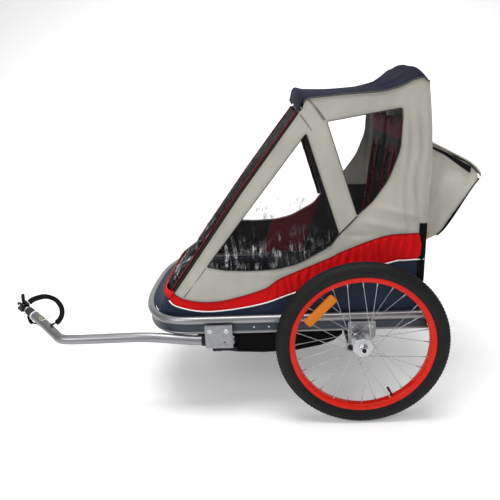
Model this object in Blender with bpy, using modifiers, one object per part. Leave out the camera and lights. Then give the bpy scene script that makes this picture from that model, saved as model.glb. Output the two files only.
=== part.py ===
"""Child bicycle trailer: a wheeled frame with a folding fabric cabin, a tow bar and a hitch.

Metres, +Z up, ground at z = 0, forward (towards the bicycle) is -X.
Every x below is measured from the wheel axle line; one parent empty carries the whole trailer
to its place, so that the world origin is the centre of its footprint.
"""

import math

import bmesh
import bpy
from mathutils import Matrix, Vector

# ---------------------------------------------------------------- driving dimensions
AXLE_X = 0.3833  # world x of the wheel axle line
GAP = 0.0003  # between pieces that touch

WHEEL_RADIUS = 0.25  # 20 inch wheel, 47-406 tyre
WHEEL_Y = 0.380  # wheel centre plane from the trailer's centre line
TYRE_SEGMENTS = 32
SPOKES = 28
FLANGE_RADIUS = 0.029
FLANGE_Y = 0.022
HUB_HALF = 0.028
AXLE_RADIUS = 0.006
AXLE_INNER_Y = 0.303
AXLE_OUTER_Y = 0.4205
BUTTON_RADIUS = 0.0062

RAIL_Y = 0.335  # upper frame tube, centre line
RAIL_Z = 0.3185
RAIL_RADIUS = 0.0125
RAIL_REAR = 0.195
SILL_Z = 0.279  # lower frame tube
SILL_RADIUS = 0.005
BAND_HALF = 0.0015  # half the thickness of the strip between the two tubes
BOW_START = -0.48  # where the straight rails turn into the front bow
BOW_LEAD = 0.010  # straight end of the bow where it meets the rail
BOW_DEPTH = 0.176
BOW_POWER = 2.7
BOW_POINTS = 19

SIDE_FOOT = (0.3215, 0.332)  # half width and height of the fabric side at the rail
SIDE_TOP = (0.286, 0.95)  # the same near the roof
FABRIC = 0.002

CAGE_TUBE = 0.009
REAR_PIVOT = (0.165, 0.375)
FRONT_PIVOT = (0.060, 0.349)
HINGE_PIN = 0.004
BARREL_RADIUS = 0.0115

TOW_RADIUS = 0.015
TOW_Y = -0.3379
TOW_Z = 0.2555
HITCH_START = Vector((-1.035, -0.213, 0.2965))  # end of the tow bar tube
HITCH_AXIS = Vector((-0.757, 0.617, 0.217)).normalized()
KNUCKLE_AT = 0.053  # along the hitch axis from the tube's end
PIN_AT = -0.045

BAG_HALF = 0.25

# ---------------------------------------------------------------- scene and helpers
for old in list(bpy.data.objects):
    bpy.data.objects.remove(old)

parts = bpy.data.collections.new("bicycle_trailer")
helpers = bpy.data.collections.new("cutters")
bpy.context.scene.collection.children.link(parts)
bpy.context.scene.collection.children.link(helpers)

origin = bpy.data.objects.new("trailer_origin", None)
origin.location = (AXLE_X, 0, 0)
parts.objects.link(origin)


def material(name, color, roughness, metallic=0.0):
    made = bpy.data.materials.new(name)
    made.use_nodes = True
    shader = made.node_tree.nodes["Principled BSDF"]
    shader.inputs["Base Color"].default_value = (*color, 1)
    shader.inputs["Roughness"].default_value = roughness
    shader.inputs["Metallic"].default_value = metallic
    return made


ALUMINIUM = material("aluminium_tube", (0.52, 0.53, 0.55), 0.35, 0.9)
STEEL = material("zinc_steel", (0.55, 0.56, 0.58), 0.4, 0.9)
NAVY_STRIP = material("navy_strip", (0.03, 0.04, 0.07), 0.5)
BLACK_PLASTIC = material("black_plastic", (0.02, 0.02, 0.02), 0.45)
GREY_PLASTIC = material("grey_plastic", (0.12, 0.12, 0.13), 0.5)
TYRE_RUBBER = material("tyre_rubber", (0.02, 0.02, 0.02), 0.8)
RED_RIM = material("red_rim", (0.65, 0.03, 0.01), 0.3, 0.2)
ORANGE = material("orange_reflector", (0.95, 0.35, 0.02), 0.2)
STONE_FABRIC = material("stone_fabric", (0.42, 0.40, 0.34), 0.85)
NAVY_FABRIC = material("navy_fabric", (0.025, 0.03, 0.05), 0.85)
RED_FABRIC = material("red_fabric", (0.35, 0.01, 0.015), 0.85)
BLACK_FABRIC = material("black_fabric", (0.015, 0.015, 0.018), 0.85)
VINYL = material("clear_vinyl", (0.8, 0.85, 0.9), 0.08)


def keep(obj, finish, parent=None):
    """Puts a finished piece in the trailer's collection with its material and its parent."""
    for holder in list(obj.users_collection):
        holder.objects.unlink(obj)
    parts.objects.link(obj)
    obj.data.materials.clear()
    obj.data.materials.append(finish)
    obj.parent = parent or origin
    return obj


def pivot(name, place, parent=None):
    """An empty on a joint's axis. place is in the trailer's own coordinates."""
    made = bpy.data.objects.new(name, None)
    parts.objects.link(made)
    made.parent = parent or origin
    made.location = Vector(place) - (parent.location if parent and parent is not origin else Vector())
    return made


def at_pivot(obj, empty, finish):
    """Parents a piece, whose mesh is in trailer coordinates, to a pivot and puts its origin there."""
    place = Vector()
    above = empty
    while above is not origin:
        place += above.location
        above = above.parent
    obj.data.transform(Matrix.Translation(-place))
    return keep(obj, finish, empty)


def from_bmesh(name, shape):
    mesh = bpy.data.meshes.new(name)
    shape.to_mesh(mesh)
    shape.free()
    made = bpy.data.objects.new(name, mesh)
    parts.objects.link(made)
    return made


def as_mesh(obj):
    """The evaluated object as a plain mesh object with welded caps, in place of the original."""
    bpy.context.view_layer.update()
    graph = bpy.context.evaluated_depsgraph_get()
    mesh = bpy.data.meshes.new_from_object(obj.evaluated_get(graph))
    mesh.transform(obj.matrix_world)
    name = obj.name
    shape = bmesh.new()
    shape.from_mesh(mesh)
    bmesh.ops.remove_doubles(shape, verts=shape.verts, dist=0.00002)
    bmesh.ops.recalc_face_normals(shape, faces=shape.faces)
    shape.to_mesh(mesh)
    shape.free()
    bpy.data.objects.remove(obj)
    made = bpy.data.objects.new(name, mesh)
    parts.objects.link(made)
    return made


def curve_object(name, lines, cyclic=False, dimensions="3D"):
    data = bpy.data.curves.new(name, "CURVE")
    data.dimensions = dimensions
    for line in lines:
        spline = data.splines.new("POLY")
        spline.points.add(len(line) - 1)
        for point, place in zip(spline.points, line):
            point.co = (*place, 1) if len(place) == 3 else (*place, 0, 1)
        spline.use_cyclic_u = cyclic
    made = bpy.data.objects.new(name, data)
    parts.objects.link(made)
    return made


def tube(name, path, radius, resolution=2):
    """A round bar along a path, as a mesh with closed ends."""
    made = curve_object(name, [path])
    made.data.bevel_depth = radius
    made.data.bevel_resolution = resolution
    made.data.use_fill_caps = True
    return as_mesh(made)


def smooth_path(knots, steps):
    """Points along a Catmull-Rom curve through the knots."""
    knots = [Vector(k) for k in knots]
    ends = [2 * knots[0] - knots[1], *knots, 2 * knots[-1] - knots[-2]]
    path = []
    for a, b, c, d in zip(ends, ends[1:], ends[2:], ends[3:]):
        for step in range(steps):
            t = step / steps
            path.append(
                0.5 * (2 * b + (c - a) * t + (2 * a - 5 * b + 4 * c - d) * t**2)
                + 0.5 * (3 * b - a - 3 * c + d) * t**3
            )
    return [*path, knots[-1]]


def prism(name, outlines, thickness):
    """A flat plate in the XY plane, centred on it, from closed outlines; inner ones are holes."""
    made = curve_object(name, outlines, cyclic=True, dimensions="2D")
    made.data.fill_mode = "BOTH"
    made.data.extrude = thickness / 2
    return as_mesh(made)


UPRIGHT = Matrix.Rotation(math.radians(90), 4, "X")  # turns a plate's XY into XZ, facing -Y


def upright_plate(name, outlines, y_near, y_far):
    """A plate drawn in x and z that fills the space between two y values."""
    made = prism(name, outlines, abs(y_far - y_near))
    made.data.transform(Matrix.Translation((0, (y_near + y_far) / 2, 0)) @ UPRIGHT)
    return made


def cylinder(name, start, end, radius, segments=16):
    """A round bar between two points."""
    start, end = Vector(start), Vector(end)
    shape = bmesh.new()
    bmesh.ops.create_cone(
        shape,
        cap_ends=True,
        segments=segments,
        radius1=radius,
        radius2=radius,
        depth=(end - start).length,
    )
    turn = (end - start).to_track_quat("Z", "Y").to_matrix().to_4x4()
    shape.transform(Matrix.Translation((start + end) / 2) @ turn)
    return from_bmesh(name, shape)


def block(name, low, high):
    """A box between two corners."""
    low, high = Vector(low), Vector(high)
    shape = bmesh.new()
    bmesh.ops.create_cube(shape, size=1)
    bmesh.ops.scale(shape, vec=high - low, verts=shape.verts)
    bmesh.ops.translate(shape, vec=(low + high) / 2, verts=shape.verts)
    return from_bmesh(name, shape)


def turned(name, profile, segments, closed=False):
    """A profile of (radius, height) pairs turned about Z. An open one starts and ends on the axis."""
    shape = bmesh.new()
    corners = [shape.verts.new((radius, 0, height)) for radius, height in profile]
    for a, b in zip(corners, corners[1:]):
        shape.edges.new((a, b))
    if closed:
        shape.edges.new((corners[-1], corners[0]))
    made = from_bmesh(name, shape)
    screw = made.modifiers.new("turn", "SCREW")
    screw.steps = segments
    screw.render_steps = segments
    screw.use_merge_vertices = True
    screw.merge_threshold = 0.00005
    return as_mesh(made)


def combine(target, operation, *tools):
    """Boolean of a mesh piece with other pieces, applied; the other pieces are used up."""
    for tool in tools:
        for holder in list(tool.users_collection):
            holder.objects.unlink(tool)
        helpers.objects.link(tool)
        tool.hide_render = True
        tool.display_type = "WIRE"
        step = target.modifiers.new(tool.name, "BOOLEAN")
        step.operation = operation
        step.solver = "EXACT"
        step.object = tool
    made = as_mesh(target)
    for tool in tools:
        bpy.data.objects.remove(tool)
    return made


def joined(name, pieces):
    """Several closed bodies as one mesh, for use as a Boolean tool."""
    shape = bmesh.new()
    for piece in pieces:
        shape.from_mesh(piece.data)
        bpy.data.objects.remove(piece)
    return from_bmesh(name, shape)


def mirrored(obj, name):
    """A copy of a mesh piece on the other side of the trailer."""
    mesh = obj.data.copy()
    mesh.transform(Matrix.Scale(-1, 4, (0, 1, 0)))
    mesh.flip_normals()
    made = bpy.data.objects.new(name, mesh)
    parts.objects.link(made)
    return made


def sheet(name, rows, thickness, left_out=()):
    """Fabric through rows of points, thickened inwards. left_out holds the (row, column) cells not made."""
    shape = bmesh.new()
    grid = [[shape.verts.new(place) for place in row] for row in rows]
    for i, (row, after) in enumerate(zip(grid, grid[1:])):
        for j in range(len(row) - 1):
            if (i, j) not in left_out:
                shape.faces.new((row[j], row[j + 1], after[j + 1], after[j]))
    loose = [v for v in shape.verts if not v.link_faces]
    bmesh.ops.delete(shape, geom=loose, context="VERTS")
    made = from_bmesh(name, shape)
    solid = made.modifiers.new("cloth", "SOLIDIFY")
    solid.thickness = thickness
    solid.offset = -1
    return as_mesh(made)


def side_y(z):
    """Half width of the fabric sides at height z."""
    share = (z - SIDE_FOOT[1]) / (SIDE_TOP[1] - SIDE_FOOT[1])
    return SIDE_FOOT[0] + (SIDE_TOP[0] - SIDE_FOOT[0]) * share


# ---------------------------------------------------------------- frame
def bow_path(z, half_width=RAIL_Y, depth=BOW_DEPTH):
    """The front bow's centre line in plan, from the left rail to the right one."""
    path = []
    for step in range(BOW_POINTS):
        angle = math.radians(-90 + 180 * step / (BOW_POINTS - 1))
        along = abs(math.cos(angle)) ** (2 / BOW_POWER)
        across = math.copysign(abs(math.sin(angle)) ** (2 / BOW_POWER), math.sin(angle))
        path.append((BOW_START - BOW_LEAD - depth * along, half_width * across, z))
    return [(BOW_START, -half_width, z), *path, (BOW_START, half_width, z)]


BAND_TOP = RAIL_Z - RAIL_RADIUS - GAP
BOLT_Z = 0.2915
AXLE_BOLTS_X = (-0.022, 0.029)
TOW_BOLTS_X = (-0.443, -0.394)
BOLT_RADIUS = 0.0025
BOLT_HOLE = 0.0028


def sill(name, path):
    """Lower tube with the strip that rises from it to the upper tube, swept along a level path."""
    outline = [(BAND_HALF, BAND_TOP - SILL_Z), (-BAND_HALF, BAND_TOP - SILL_Z)]
    root = math.asin(BAND_HALF / SILL_RADIUS)
    for step in range(9):
        angle = math.pi / 2 + root + (2 * math.pi - 2 * root) * step / 8
        outline.append((SILL_RADIUS * math.cos(angle), SILL_RADIUS * math.sin(angle)))
    section = curve_object(name + "_section", [outline], cyclic=True, dimensions="2D")
    section.hide_render = True
    swept = curve_object(name, [path])
    swept.data.twist_mode = "Z_UP"
    swept.data.bevel_mode = "OBJECT"
    swept.data.bevel_object = section
    swept.data.use_fill_caps = True
    made = as_mesh(swept)
    bpy.data.objects.remove(section)
    return made


def bolt_holes(name, places_x, side):
    """Cutters for bolts that cross the strip and the bracket outside it."""
    return joined(
        name,
        [
            cylinder("hole", (x, side * 0.325, BOLT_Z), (x, side * 0.365, BOLT_Z), BOLT_HOLE, 12)
            for x in places_x
        ],
    )


def bolts(name, places_x, side, seat_y):
    """Bolt heads outside a bracket, their shanks, and the nut strip behind the frame's strip."""
    inner_y = RAIL_Y - 0.006
    made = block(
        name,
        (places_x[0] - 0.008, min(side * inner_y, side * (inner_y + 0.003)), BOLT_Z - 0.0055),
        (places_x[1] + 0.008, max(side * inner_y, side * (inner_y + 0.003)), BOLT_Z + 0.0055),
    )
    tools = []
    for x in places_x:
        head = seat_y + GAP
        tools.append(
            cylinder("shank", (x, side * (inner_y + 0.001), BOLT_Z), (x, side * (head + 0.001), BOLT_Z), BOLT_RADIUS, 12)
        )
        tools.append(
            cylinder("head", (x, side * head, BOLT_Z), (x, side * (head + 0.0035), BOLT_Z), 0.005, 12)
        )
    return combine(made, "UNION", *tools)


def rails():
    for side, label in ((-1, "left"), (1, "right")):
        upper = tube(
            f"upper_rail_{label}",
            [(BOW_START + GAP, side * RAIL_Y, RAIL_Z), (RAIL_REAR, side * RAIL_Y, RAIL_Z)],
            RAIL_RADIUS,
        )
        keep(upper, ALUMINIUM)
        lower = sill(
            f"lower_rail_{label}",
            [(BOW_START + GAP, side * RAIL_Y, SILL_Z), (RAIL_REAR, side * RAIL_Y, SILL_Z)],
        )
        holes = AXLE_BOLTS_X + (TOW_BOLTS_X if side < 0 else ())
        keep(combine(lower, "DIFFERENCE", bolt_holes("holes", holes, side)), NAVY_STRIP)
    keep(tube("front_bow_upper", bow_path(RAIL_Z), RAIL_RADIUS), ALUMINIUM)
    keep(sill("front_bow_lower", bow_path(SILL_Z)), NAVY_STRIP)
    half = RAIL_Y - RAIL_RADIUS - GAP
    keep(cylinder("rear_crossbar", (0.150, -half, RAIL_Z), (0.150, half, RAIL_Z), 0.009, 12), ALUMINIUM)


CROSS_RADIUS = 0.008
CROSS_TUBES = {"front_floor_tube": (-0.535, 0.3195), "rear_floor_tube": (0.058, 0.3295)}
AXLE_TUBE = (-0.026, 0.227)
AXLE_TUBE_RADIUS = 0.0105
BRACKET_Y = (0.3480, 0.3505)


def cross_tubes():
    for name, (x, half) in CROSS_TUBES.items():
        keep(cylinder(name, (x, -half, SILL_Z), (x, half, SILL_Z), CROSS_RADIUS, 12), ALUMINIUM)
    x, z = AXLE_TUBE
    keep(cylinder("axle_cross_tube", (x, -0.352, z), (x, 0.352, z), AXLE_TUBE_RADIUS), ALUMINIUM)


def axle_brackets():
    outline = [
        (-0.036, 0.308),
        (0.044, 0.308),
        (0.044, 0.262),
        (0.028, 0.236),
        (0.012, 0.231),
        (-0.010, 0.231),
        (-0.012, 0.214),
        (-0.040, 0.214),
        (-0.040, 0.236),
        (-0.036, 0.240),
    ]
    x, z = AXLE_TUBE
    for side, label in ((-1, "left"), (1, "right")):
        plate = upright_plate("plate", [outline], side * BRACKET_Y[0], side * BRACKET_Y[1])
        plate.name = f"axle_bracket_{label}"
        receiver = cylinder(
            "receiver", (0, side * 0.300, WHEEL_RADIUS), (0, side * 0.3512, WHEEL_RADIUS), 0.0105, 20
        )
        plate = combine(plate, "UNION", receiver)
        bore = cylinder("bore", (0, side * 0.29, WHEEL_RADIUS), (0, side * 0.37, WHEEL_RADIUS), AXLE_RADIUS + GAP, 20)
        passage = cylinder("passage", (x, side * 0.34, z), (x, side * 0.36, z), AXLE_TUBE_RADIUS + GAP)
        plate = combine(plate, "DIFFERENCE", bore, passage, bolt_holes("holes", AXLE_BOLTS_X, side))
        keep(plate, STEEL)
        keep(bolts(f"axle_bolts_{label}", AXLE_BOLTS_X, side, BRACKET_Y[1]), STEEL)


# ---------------------------------------------------------------- floor and seat
WELL_PROFILE = [
    (-0.500, 0.2988),
    (-0.492, 0.222),
    (-0.470, 0.202),
    (-0.430, 0.188),
    (-0.370, 0.180),
    (-0.290, 0.176),
    (-0.190, 0.180),
    (-0.110, 0.196),
    (-0.068, 0.212),
    (-0.044, 0.232),
    (-0.039, 0.2988),
]
WELL_HALF = 0.275
WELL_WALL = 0.003
FLOOR_Z = 0.298


def inset(outline, distance):
    """An open outline that runs anticlockwise seen from -Y, moved inwards."""
    moved = []
    for i, place in enumerate(outline):
        before = Vector(outline[max(i - 1, 0)])
        after = Vector(outline[min(i + 1, len(outline) - 1)])
        along = (after - before).normalized()
        moved.append(tuple(Vector(place) + distance * Vector((-along.y, along.x))))
    return moved


def floor():
    """One moulded sheet: the floor inside the frame with the footwell that hangs through it."""
    edge = [(x, y) for x, y, z in bow_path(0, RAIL_Y - 0.018, BOW_DEPTH - 0.018)[1:-1]]
    edge += [(0.139, RAIL_Y - 0.018), (0.139, -RAIL_Y + 0.018)]
    well = [
        (WELL_PROFILE[0][0] + 0.001, -WELL_HALF + 0.001),
        (WELL_PROFILE[-1][0] - 0.001, -WELL_HALF + 0.001),
        (WELL_PROFILE[-1][0] - 0.001, WELL_HALF - 0.001),
        (WELL_PROFILE[0][0] + 0.001, WELL_HALF - 0.001),
    ]
    pan = prism("floor_pan", [edge, well], WELL_WALL)
    pan.data.transform(Matrix.Translation((0, 0, FLOOR_Z)))
    tub = upright_plate("tub", [WELL_PROFILE], -WELL_HALF, WELL_HALF)
    hollow = inset(WELL_PROFILE, WELL_WALL)
    hollow[0] = (hollow[0][0], 0.34)
    hollow[-1] = (hollow[-1][0], 0.34)
    space = upright_plate("space", [hollow], -WELL_HALF + WELL_WALL, WELL_HALF - WELL_WALL)
    tub = combine(tub, "DIFFERENCE", space)
    keep(combine(pan, "UNION", tub), BLACK_FABRIC)


def seat():
    base = [(-0.285, 0.352), (-0.275, 0.340), (-0.10, 0.330), (0.085, 0.336), (0.085, 0.350), (-0.10, 0.345), (-0.270, 0.358)]
    keep(upright_plate("seat_base", [base], -0.24, 0.24), RED_FABRIC)
    back = [(0.088, 0.352), (0.104, 0.352), (0.128, 0.55), (0.150, 0.88), (0.136, 0.88), (0.112, 0.56)]
    keep(upright_plate("seat_back", [back], -0.24, 0.24), RED_FABRIC)


# ---------------------------------------------------------------- folding cage
def hoop(name, foot, shoulder, crown_z, crown_x, foot_y, shoulder_y, barrel_inner, empty):
    """A tube from one hinge up over the cabin to the other, with a barrel at each foot."""
    path = [(foot[0], -foot_y, foot[1]), (shoulder[0], -shoulder_y, shoulder[1])]
    arch = 11
    for step in range(1, arch):
        angle = math.pi * step / arch
        share = math.sin(angle) ** 0.8
        path.append(
            (
                shoulder[0] + (crown_x - shoulder[0]) * share,
                -shoulder_y * math.cos(angle),
                shoulder[1] + (crown_z - shoulder[1]) * share,
            )
        )
    path += [(shoulder[0], shoulder_y, shoulder[1]), (foot[0], foot_y, foot[1])]
    made = tube(name, path, CAGE_TUBE)
    barrels = []
    pins = []
    for side in (-1, 1):
        barrels.append(
            cylinder("barrel", (foot[0], side * barrel_inner, foot[1]), (foot[0], side * 0.3085, foot[1]), BARREL_RADIUS)
        )
        pins.append(
            cylinder("pin", (foot[0], side * 0.26, foot[1]), (foot[0], side * 0.32, foot[1]), HINGE_PIN + GAP, 12)
        )
    made = combine(made, "UNION", *barrels)
    made = combine(made, "DIFFERENCE", *pins)
    return at_pivot(made, empty, ALUMINIUM)


def cage_hinges():
    outline = [
        (0.042, 0.3325),
        (0.178, 0.3325),
        (0.178, 0.381),
        (0.170, 0.3875),
        (0.158, 0.3875),
        (0.080, 0.362),
        (0.060, 0.364),
        (0.044, 0.358),
    ]
    for side, label in ((-1, "left"), (1, "right")):
        plate = upright_plate("plate", [outline], side * 0.3090, side * 0.3120)
        plate.name = f"cage_hinge_{label}"
        pins = [
            cylinder("pin", (x, side * inner, z), (x, side * 0.3110, z), HINGE_PIN, 12)
            for (x, z), inner in ((REAR_PIVOT, 0.286), (FRONT_PIVOT, 0.266))
        ]
        keep(combine(plate, "UNION", *pins), STEEL)


# ---------------------------------------------------------------- fabric cabin
ROOF_SEAM = [
    (-0.148, 0.928),
    (-0.137, 0.937),
    (-0.105, 0.940),
    (-0.025, 0.944),
    (0.055, 0.946),
    (0.097, 0.953),
    (0.121, 0.961),
    (0.142, 0.970),
    (0.168, 0.976),
    (0.184, 0.966),
]
REAR_EDGE = [(0.1785, 0.332), (0.181, 0.41), (0.189, 0.59), (0.1975, 0.76), (0.1945, 0.85), (0.190, 0.907)]
FRONT_EDGE = [(-0.600, 0.334), (-0.549, 0.393), (-0.334, 0.684), (-0.163, 0.901)]
FRONT_OPENING = [(-0.444, 0.478), (-0.391, 0.466), (-0.317, 0.462), (-0.240, 0.464), (-0.174, 0.479), (-0.084, 0.527), (-0.057, 0.564), (-0.144, 0.848)]
REAR_OPENING = [(-0.087, 0.876), (-0.006, 0.614), (0.036, 0.650), (0.081, 0.712), (0.112, 0.792), (0.117, 0.879), (0.115, 0.903)]


def on_side(outline):
    """An outline in x and z as x and distance up the sloping side."""
    tilt = math.atan2(SIDE_FOOT[0] - SIDE_TOP[0], SIDE_TOP[1] - SIDE_FOOT[1])
    return [(x, (z - SIDE_FOOT[1]) / math.cos(tilt)) for x, z in outline]


def side_sheet(name, outlines, inward, thickness):
    """A flat sheet on the left side of the cabin, its outer face a given distance inwards."""
    tilt = math.atan2(SIDE_FOOT[0] - SIDE_TOP[0], SIDE_TOP[1] - SIDE_FOOT[1])
    made = prism(name, [on_side(outline) for outline in outlines], thickness)
    place = Matrix.Translation((0, -SIDE_FOOT[0], SIDE_FOOT[1]))
    turn = Matrix.Rotation(math.radians(90) - tilt, 4, "X")
    made.data.transform(place @ turn @ Matrix.Translation((0, 0, -inward - thickness / 2)))
    return made


def grown(outline, distance):
    """A closed outline, either way round, moved outwards."""
    count = len(outline)
    area = sum(
        outline[i][0] * outline[(i + 1) % count][1] - outline[(i + 1) % count][0] * outline[i][1]
        for i in range(count)
    )
    outwards = math.copysign(distance, area)
    moved = []
    for i, place in enumerate(outline):
        along = (Vector(outline[(i + 1) % count]) - Vector(outline[i - 1])).normalized()
        moved.append(tuple(Vector(place) + outwards * Vector((along.y, -along.x))))
    return moved


def cabin_sides():
    outline = [*FRONT_EDGE, (-0.152, 0.912), *ROOF_SEAM, *reversed(REAR_EDGE)]
    side = side_sheet("side_panel_left", [outline, FRONT_OPENING, REAR_OPENING], 0, FABRIC)
    keep(mirrored(side, "side_panel_right"), STONE_FABRIC)
    keep(side, STONE_FABRIC)
    for name, opening in (("front", FRONT_OPENING), ("rear", REAR_OPENING)):
        pane = side_sheet(f"window_{name}_left", [grown(opening, 0.008)], FABRIC + GAP, 0.001)
        keep(mirrored(pane, f"window_{name}_right"), VINYL)
        keep(pane, VINYL)


ROOF_CROWN = [
    (-0.178, 0.930),
    (-0.165, 0.966),
    (-0.130, 0.961),
    (-0.030, 0.958),
    (0.060, 0.963),
    (0.110, 0.974),
    (0.145, 0.998),
    (0.170, 1.018),
    (0.187, 1.000),
    (0.188, 0.985),
]
ROOF_SIDE = [
    (-0.162, 0.905),
    (-0.152, 0.930),
    (-0.135, 0.9390),
    (-0.030, 0.9450),
    (0.060, 0.9475),
    (0.110, 0.9585),
    (0.145, 0.9720),
    (0.166, 0.9770),
    (0.1800, 0.9700),
    (0.1845, 0.9665),
]
ROOF_COLUMNS = 12


def roof():
    rows = []
    for (crown_x, crown_z), (edge_x, edge_z) in zip(ROOF_CROWN, ROOF_SIDE):
        row = []
        for column in range(ROOF_COLUMNS + 1):
            across = -1 + 2 * column / ROOF_COLUMNS
            share = (1 - abs(across) ** 2.2) ** 0.75
            half = side_y(edge_z)
            row.append(
                (
                    edge_x + (crown_x - edge_x) * share,
                    half * across,
                    edge_z + GAP + (crown_z - edge_z) * share,
                )
            )
        rows.append(row)
    keep(sheet("roof_panel", rows, FABRIC), NAVY_FABRIC)


REAR_PANEL = [
    (0.334, 0.1790),
    (0.41, 0.1816),
    (0.59, 0.1896),
    (0.76, 0.1980),
    (0.85, 0.1951),
    (0.907, 0.1906),
    (0.955, 0.1858),
]


def rear_panel(empty):
    rows = []
    for z, x in REAR_PANEL:
        half = side_y(z)
        rows.append([(x, half * across, z) for across in (-1, -0.5, 0, 0.5, 1)])
    return at_pivot(sheet("rear_panel", rows, -FABRIC), empty, STONE_FABRIC)


COVER_FOOT = (-0.606, 0.334)
COVER_HEAD = (-0.1705, 0.9030)
COVER_ROWS = 8
COVER_COLUMNS = 8
COVER_BULGE = 0.040


def cover_point(row, column, outward=0.0):
    """A point of the front cover, which slopes from the bow up to the roof and bulges at its foot."""
    up = row / COVER_ROWS
    across = -1 + 2 * column / COVER_COLUMNS
    x = COVER_FOOT[0] + (COVER_HEAD[0] - COVER_FOOT[0]) * up
    z = COVER_FOOT[1] + (COVER_HEAD[1] - COVER_FOOT[1]) * up
    bulge = (COVER_BULGE * (1 - up) ** 2 + 0.006) * (1 - across**2)
    slope = (Vector(COVER_HEAD) - Vector(COVER_FOOT)).normalized()
    return (x - bulge - outward * slope.y, (side_y(z) - 0.0015) * across, z + outward * slope.x)


def front_cover():
    opening = {(i, j) for i in range(1, COVER_ROWS - 1) for j in range(1, COVER_COLUMNS - 1)}
    rows = [[cover_point(i, j, -0.001) for j in range(COVER_COLUMNS + 1)] for i in range(COVER_ROWS + 1)]
    keep(sheet("front_cover", rows, -FABRIC, opening), BLACK_FABRIC)
    inner = [
        [cover_point(i, j, -0.001 - FABRIC - GAP) for j in range(1, COVER_COLUMNS)]
        for i in range(1, COVER_ROWS)
    ]
    keep(sheet("front_window", inner, -0.001), VINYL)


# ---------------------------------------------------------------- cargo bag and flag sleeve
BAG_OUTLINE = [
    (0.2005, 0.515),
    (0.246, 0.535),
    (0.285, 0.589),
    (0.326, 0.668),
    (0.343, 0.684),
    (0.349, 0.700),
    (0.346, 0.714),
    (0.318, 0.742),
    (0.245, 0.783),
    (0.2005, 0.806),
]
BAG_HOLLOW = [
    (0.2045, 0.522),
    (0.2435, 0.540),
    (0.281, 0.592),
    (0.3225, 0.672),
    (0.3395, 0.687),
    (0.3445, 0.700),
    (0.342, 0.711),
    (0.336, 0.780),
    (0.2045, 0.850),
]
LID_OUTLINE = [
    (0.2005, 0.8070),
    (0.2452, 0.7840),
    (0.3184, 0.7429),
    (0.3440, 0.7175),
    (0.3475, 0.7195),
    (0.3210, 0.7470),
    (0.2475, 0.7880),
    (0.2025, 0.8105),
]
LID_PIVOT = (0.2015, 0.8085)


def cargo_bag(hoop_empty):
    bag = upright_plate("cargo_bag", [BAG_OUTLINE], -BAG_HALF, BAG_HALF)
    hollow = upright_plate("hollow", [BAG_HOLLOW], -BAG_HALF + 0.004, BAG_HALF - 0.004)
    at_pivot(combine(bag, "DIFFERENCE", hollow), hoop_empty, STONE_FABRIC)
    lid_pivot = pivot("bag_lid_pivot", (LID_PIVOT[0], 0, LID_PIVOT[1]), hoop_empty)
    lid = upright_plate("bag_lid", [LID_OUTLINE], -BAG_HALF, BAG_HALF)
    at_pivot(lid, lid_pivot, STONE_FABRIC)


def flag_sleeve():
    outline = [(0.1625, 0.415), (0.1845, 0.415), (0.1905, 0.585), (0.1690, 0.585)]
    keep(side_sheet("flag_sleeve", [outline], -0.0043, 0.004), BLACK_FABRIC)


# ---------------------------------------------------------------- wheels
TYRE_HALF = [
    (0.2500, 0.0),
    (0.2485, 0.0125),
    (0.2420, 0.0203),
    (0.2290, 0.0235),
    (0.2170, 0.0212),
    (0.2102, 0.0165),
    (0.2102, 0.0118),
    (0.2040, 0.0112),
]
RIM_HALF = [(0.2036, 0.0120), (0.2097, 0.0122), (0.2097, 0.0158), (0.2000, 0.0150), (0.1930, 0.0105)]
HUB_HALF_PROFILE = [
    (0.0095, HUB_HALF),
    (0.0125, FLANGE_Y + 0.0030),
    (FLANGE_RADIUS, FLANGE_Y + 0.0015),
    (FLANGE_RADIUS, FLANGE_Y - 0.0015),
    (0.0140, FLANGE_Y - 0.0040),
    (0.0120, 0.0080),
]
RIM_SPOKE_RADIUS = 0.1910
SPOKE_TURN = math.radians(77)  # hub hole to rim hole, round the wheel


def ring(name, half_profile, segments):
    """A turned ring from the half of its profile on one side of the wheel plane."""
    other = [(radius, -height) for radius, height in reversed(half_profile) if height > 0]
    return turned(name, half_profile + other, segments, closed=True)


def spokes():
    """All the spokes as closed bodies about the Z axis, in crossed pairs on both flanges."""
    pieces = []
    for hole in range(SPOKES):
        side = 1 if hole % 2 else -1
        lean = 1 if (hole // 2) % 2 else -1
        rim_angle = 2 * math.pi * hole / SPOKES
        hub_angle = rim_angle - lean * SPOKE_TURN
        hub_radius = FLANGE_RADIUS - 0.0035
        start = (
            hub_radius * math.cos(hub_angle),
            hub_radius * math.sin(hub_angle),
            side * (FLANGE_Y + lean * 0.0020),
        )
        end = (
            RIM_SPOKE_RADIUS * math.cos(rim_angle),
            RIM_SPOKE_RADIUS * math.sin(rim_angle),
            side * (0.0045 + lean * 0.0020),
        )
        pieces.append(cylinder("spoke", start, end, 0.0011, 5))
    return joined("spokes", pieces)


def hub_profile():
    """The hub shell's closed profile: its outside and then its bore."""
    outside = HUB_HALF_PROFILE + [(r, -z) for r, z in reversed(HUB_HALF_PROFILE)]
    return outside + [(AXLE_RADIUS + GAP, -HUB_HALF), (AXLE_RADIUS + GAP, HUB_HALF)]


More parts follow.
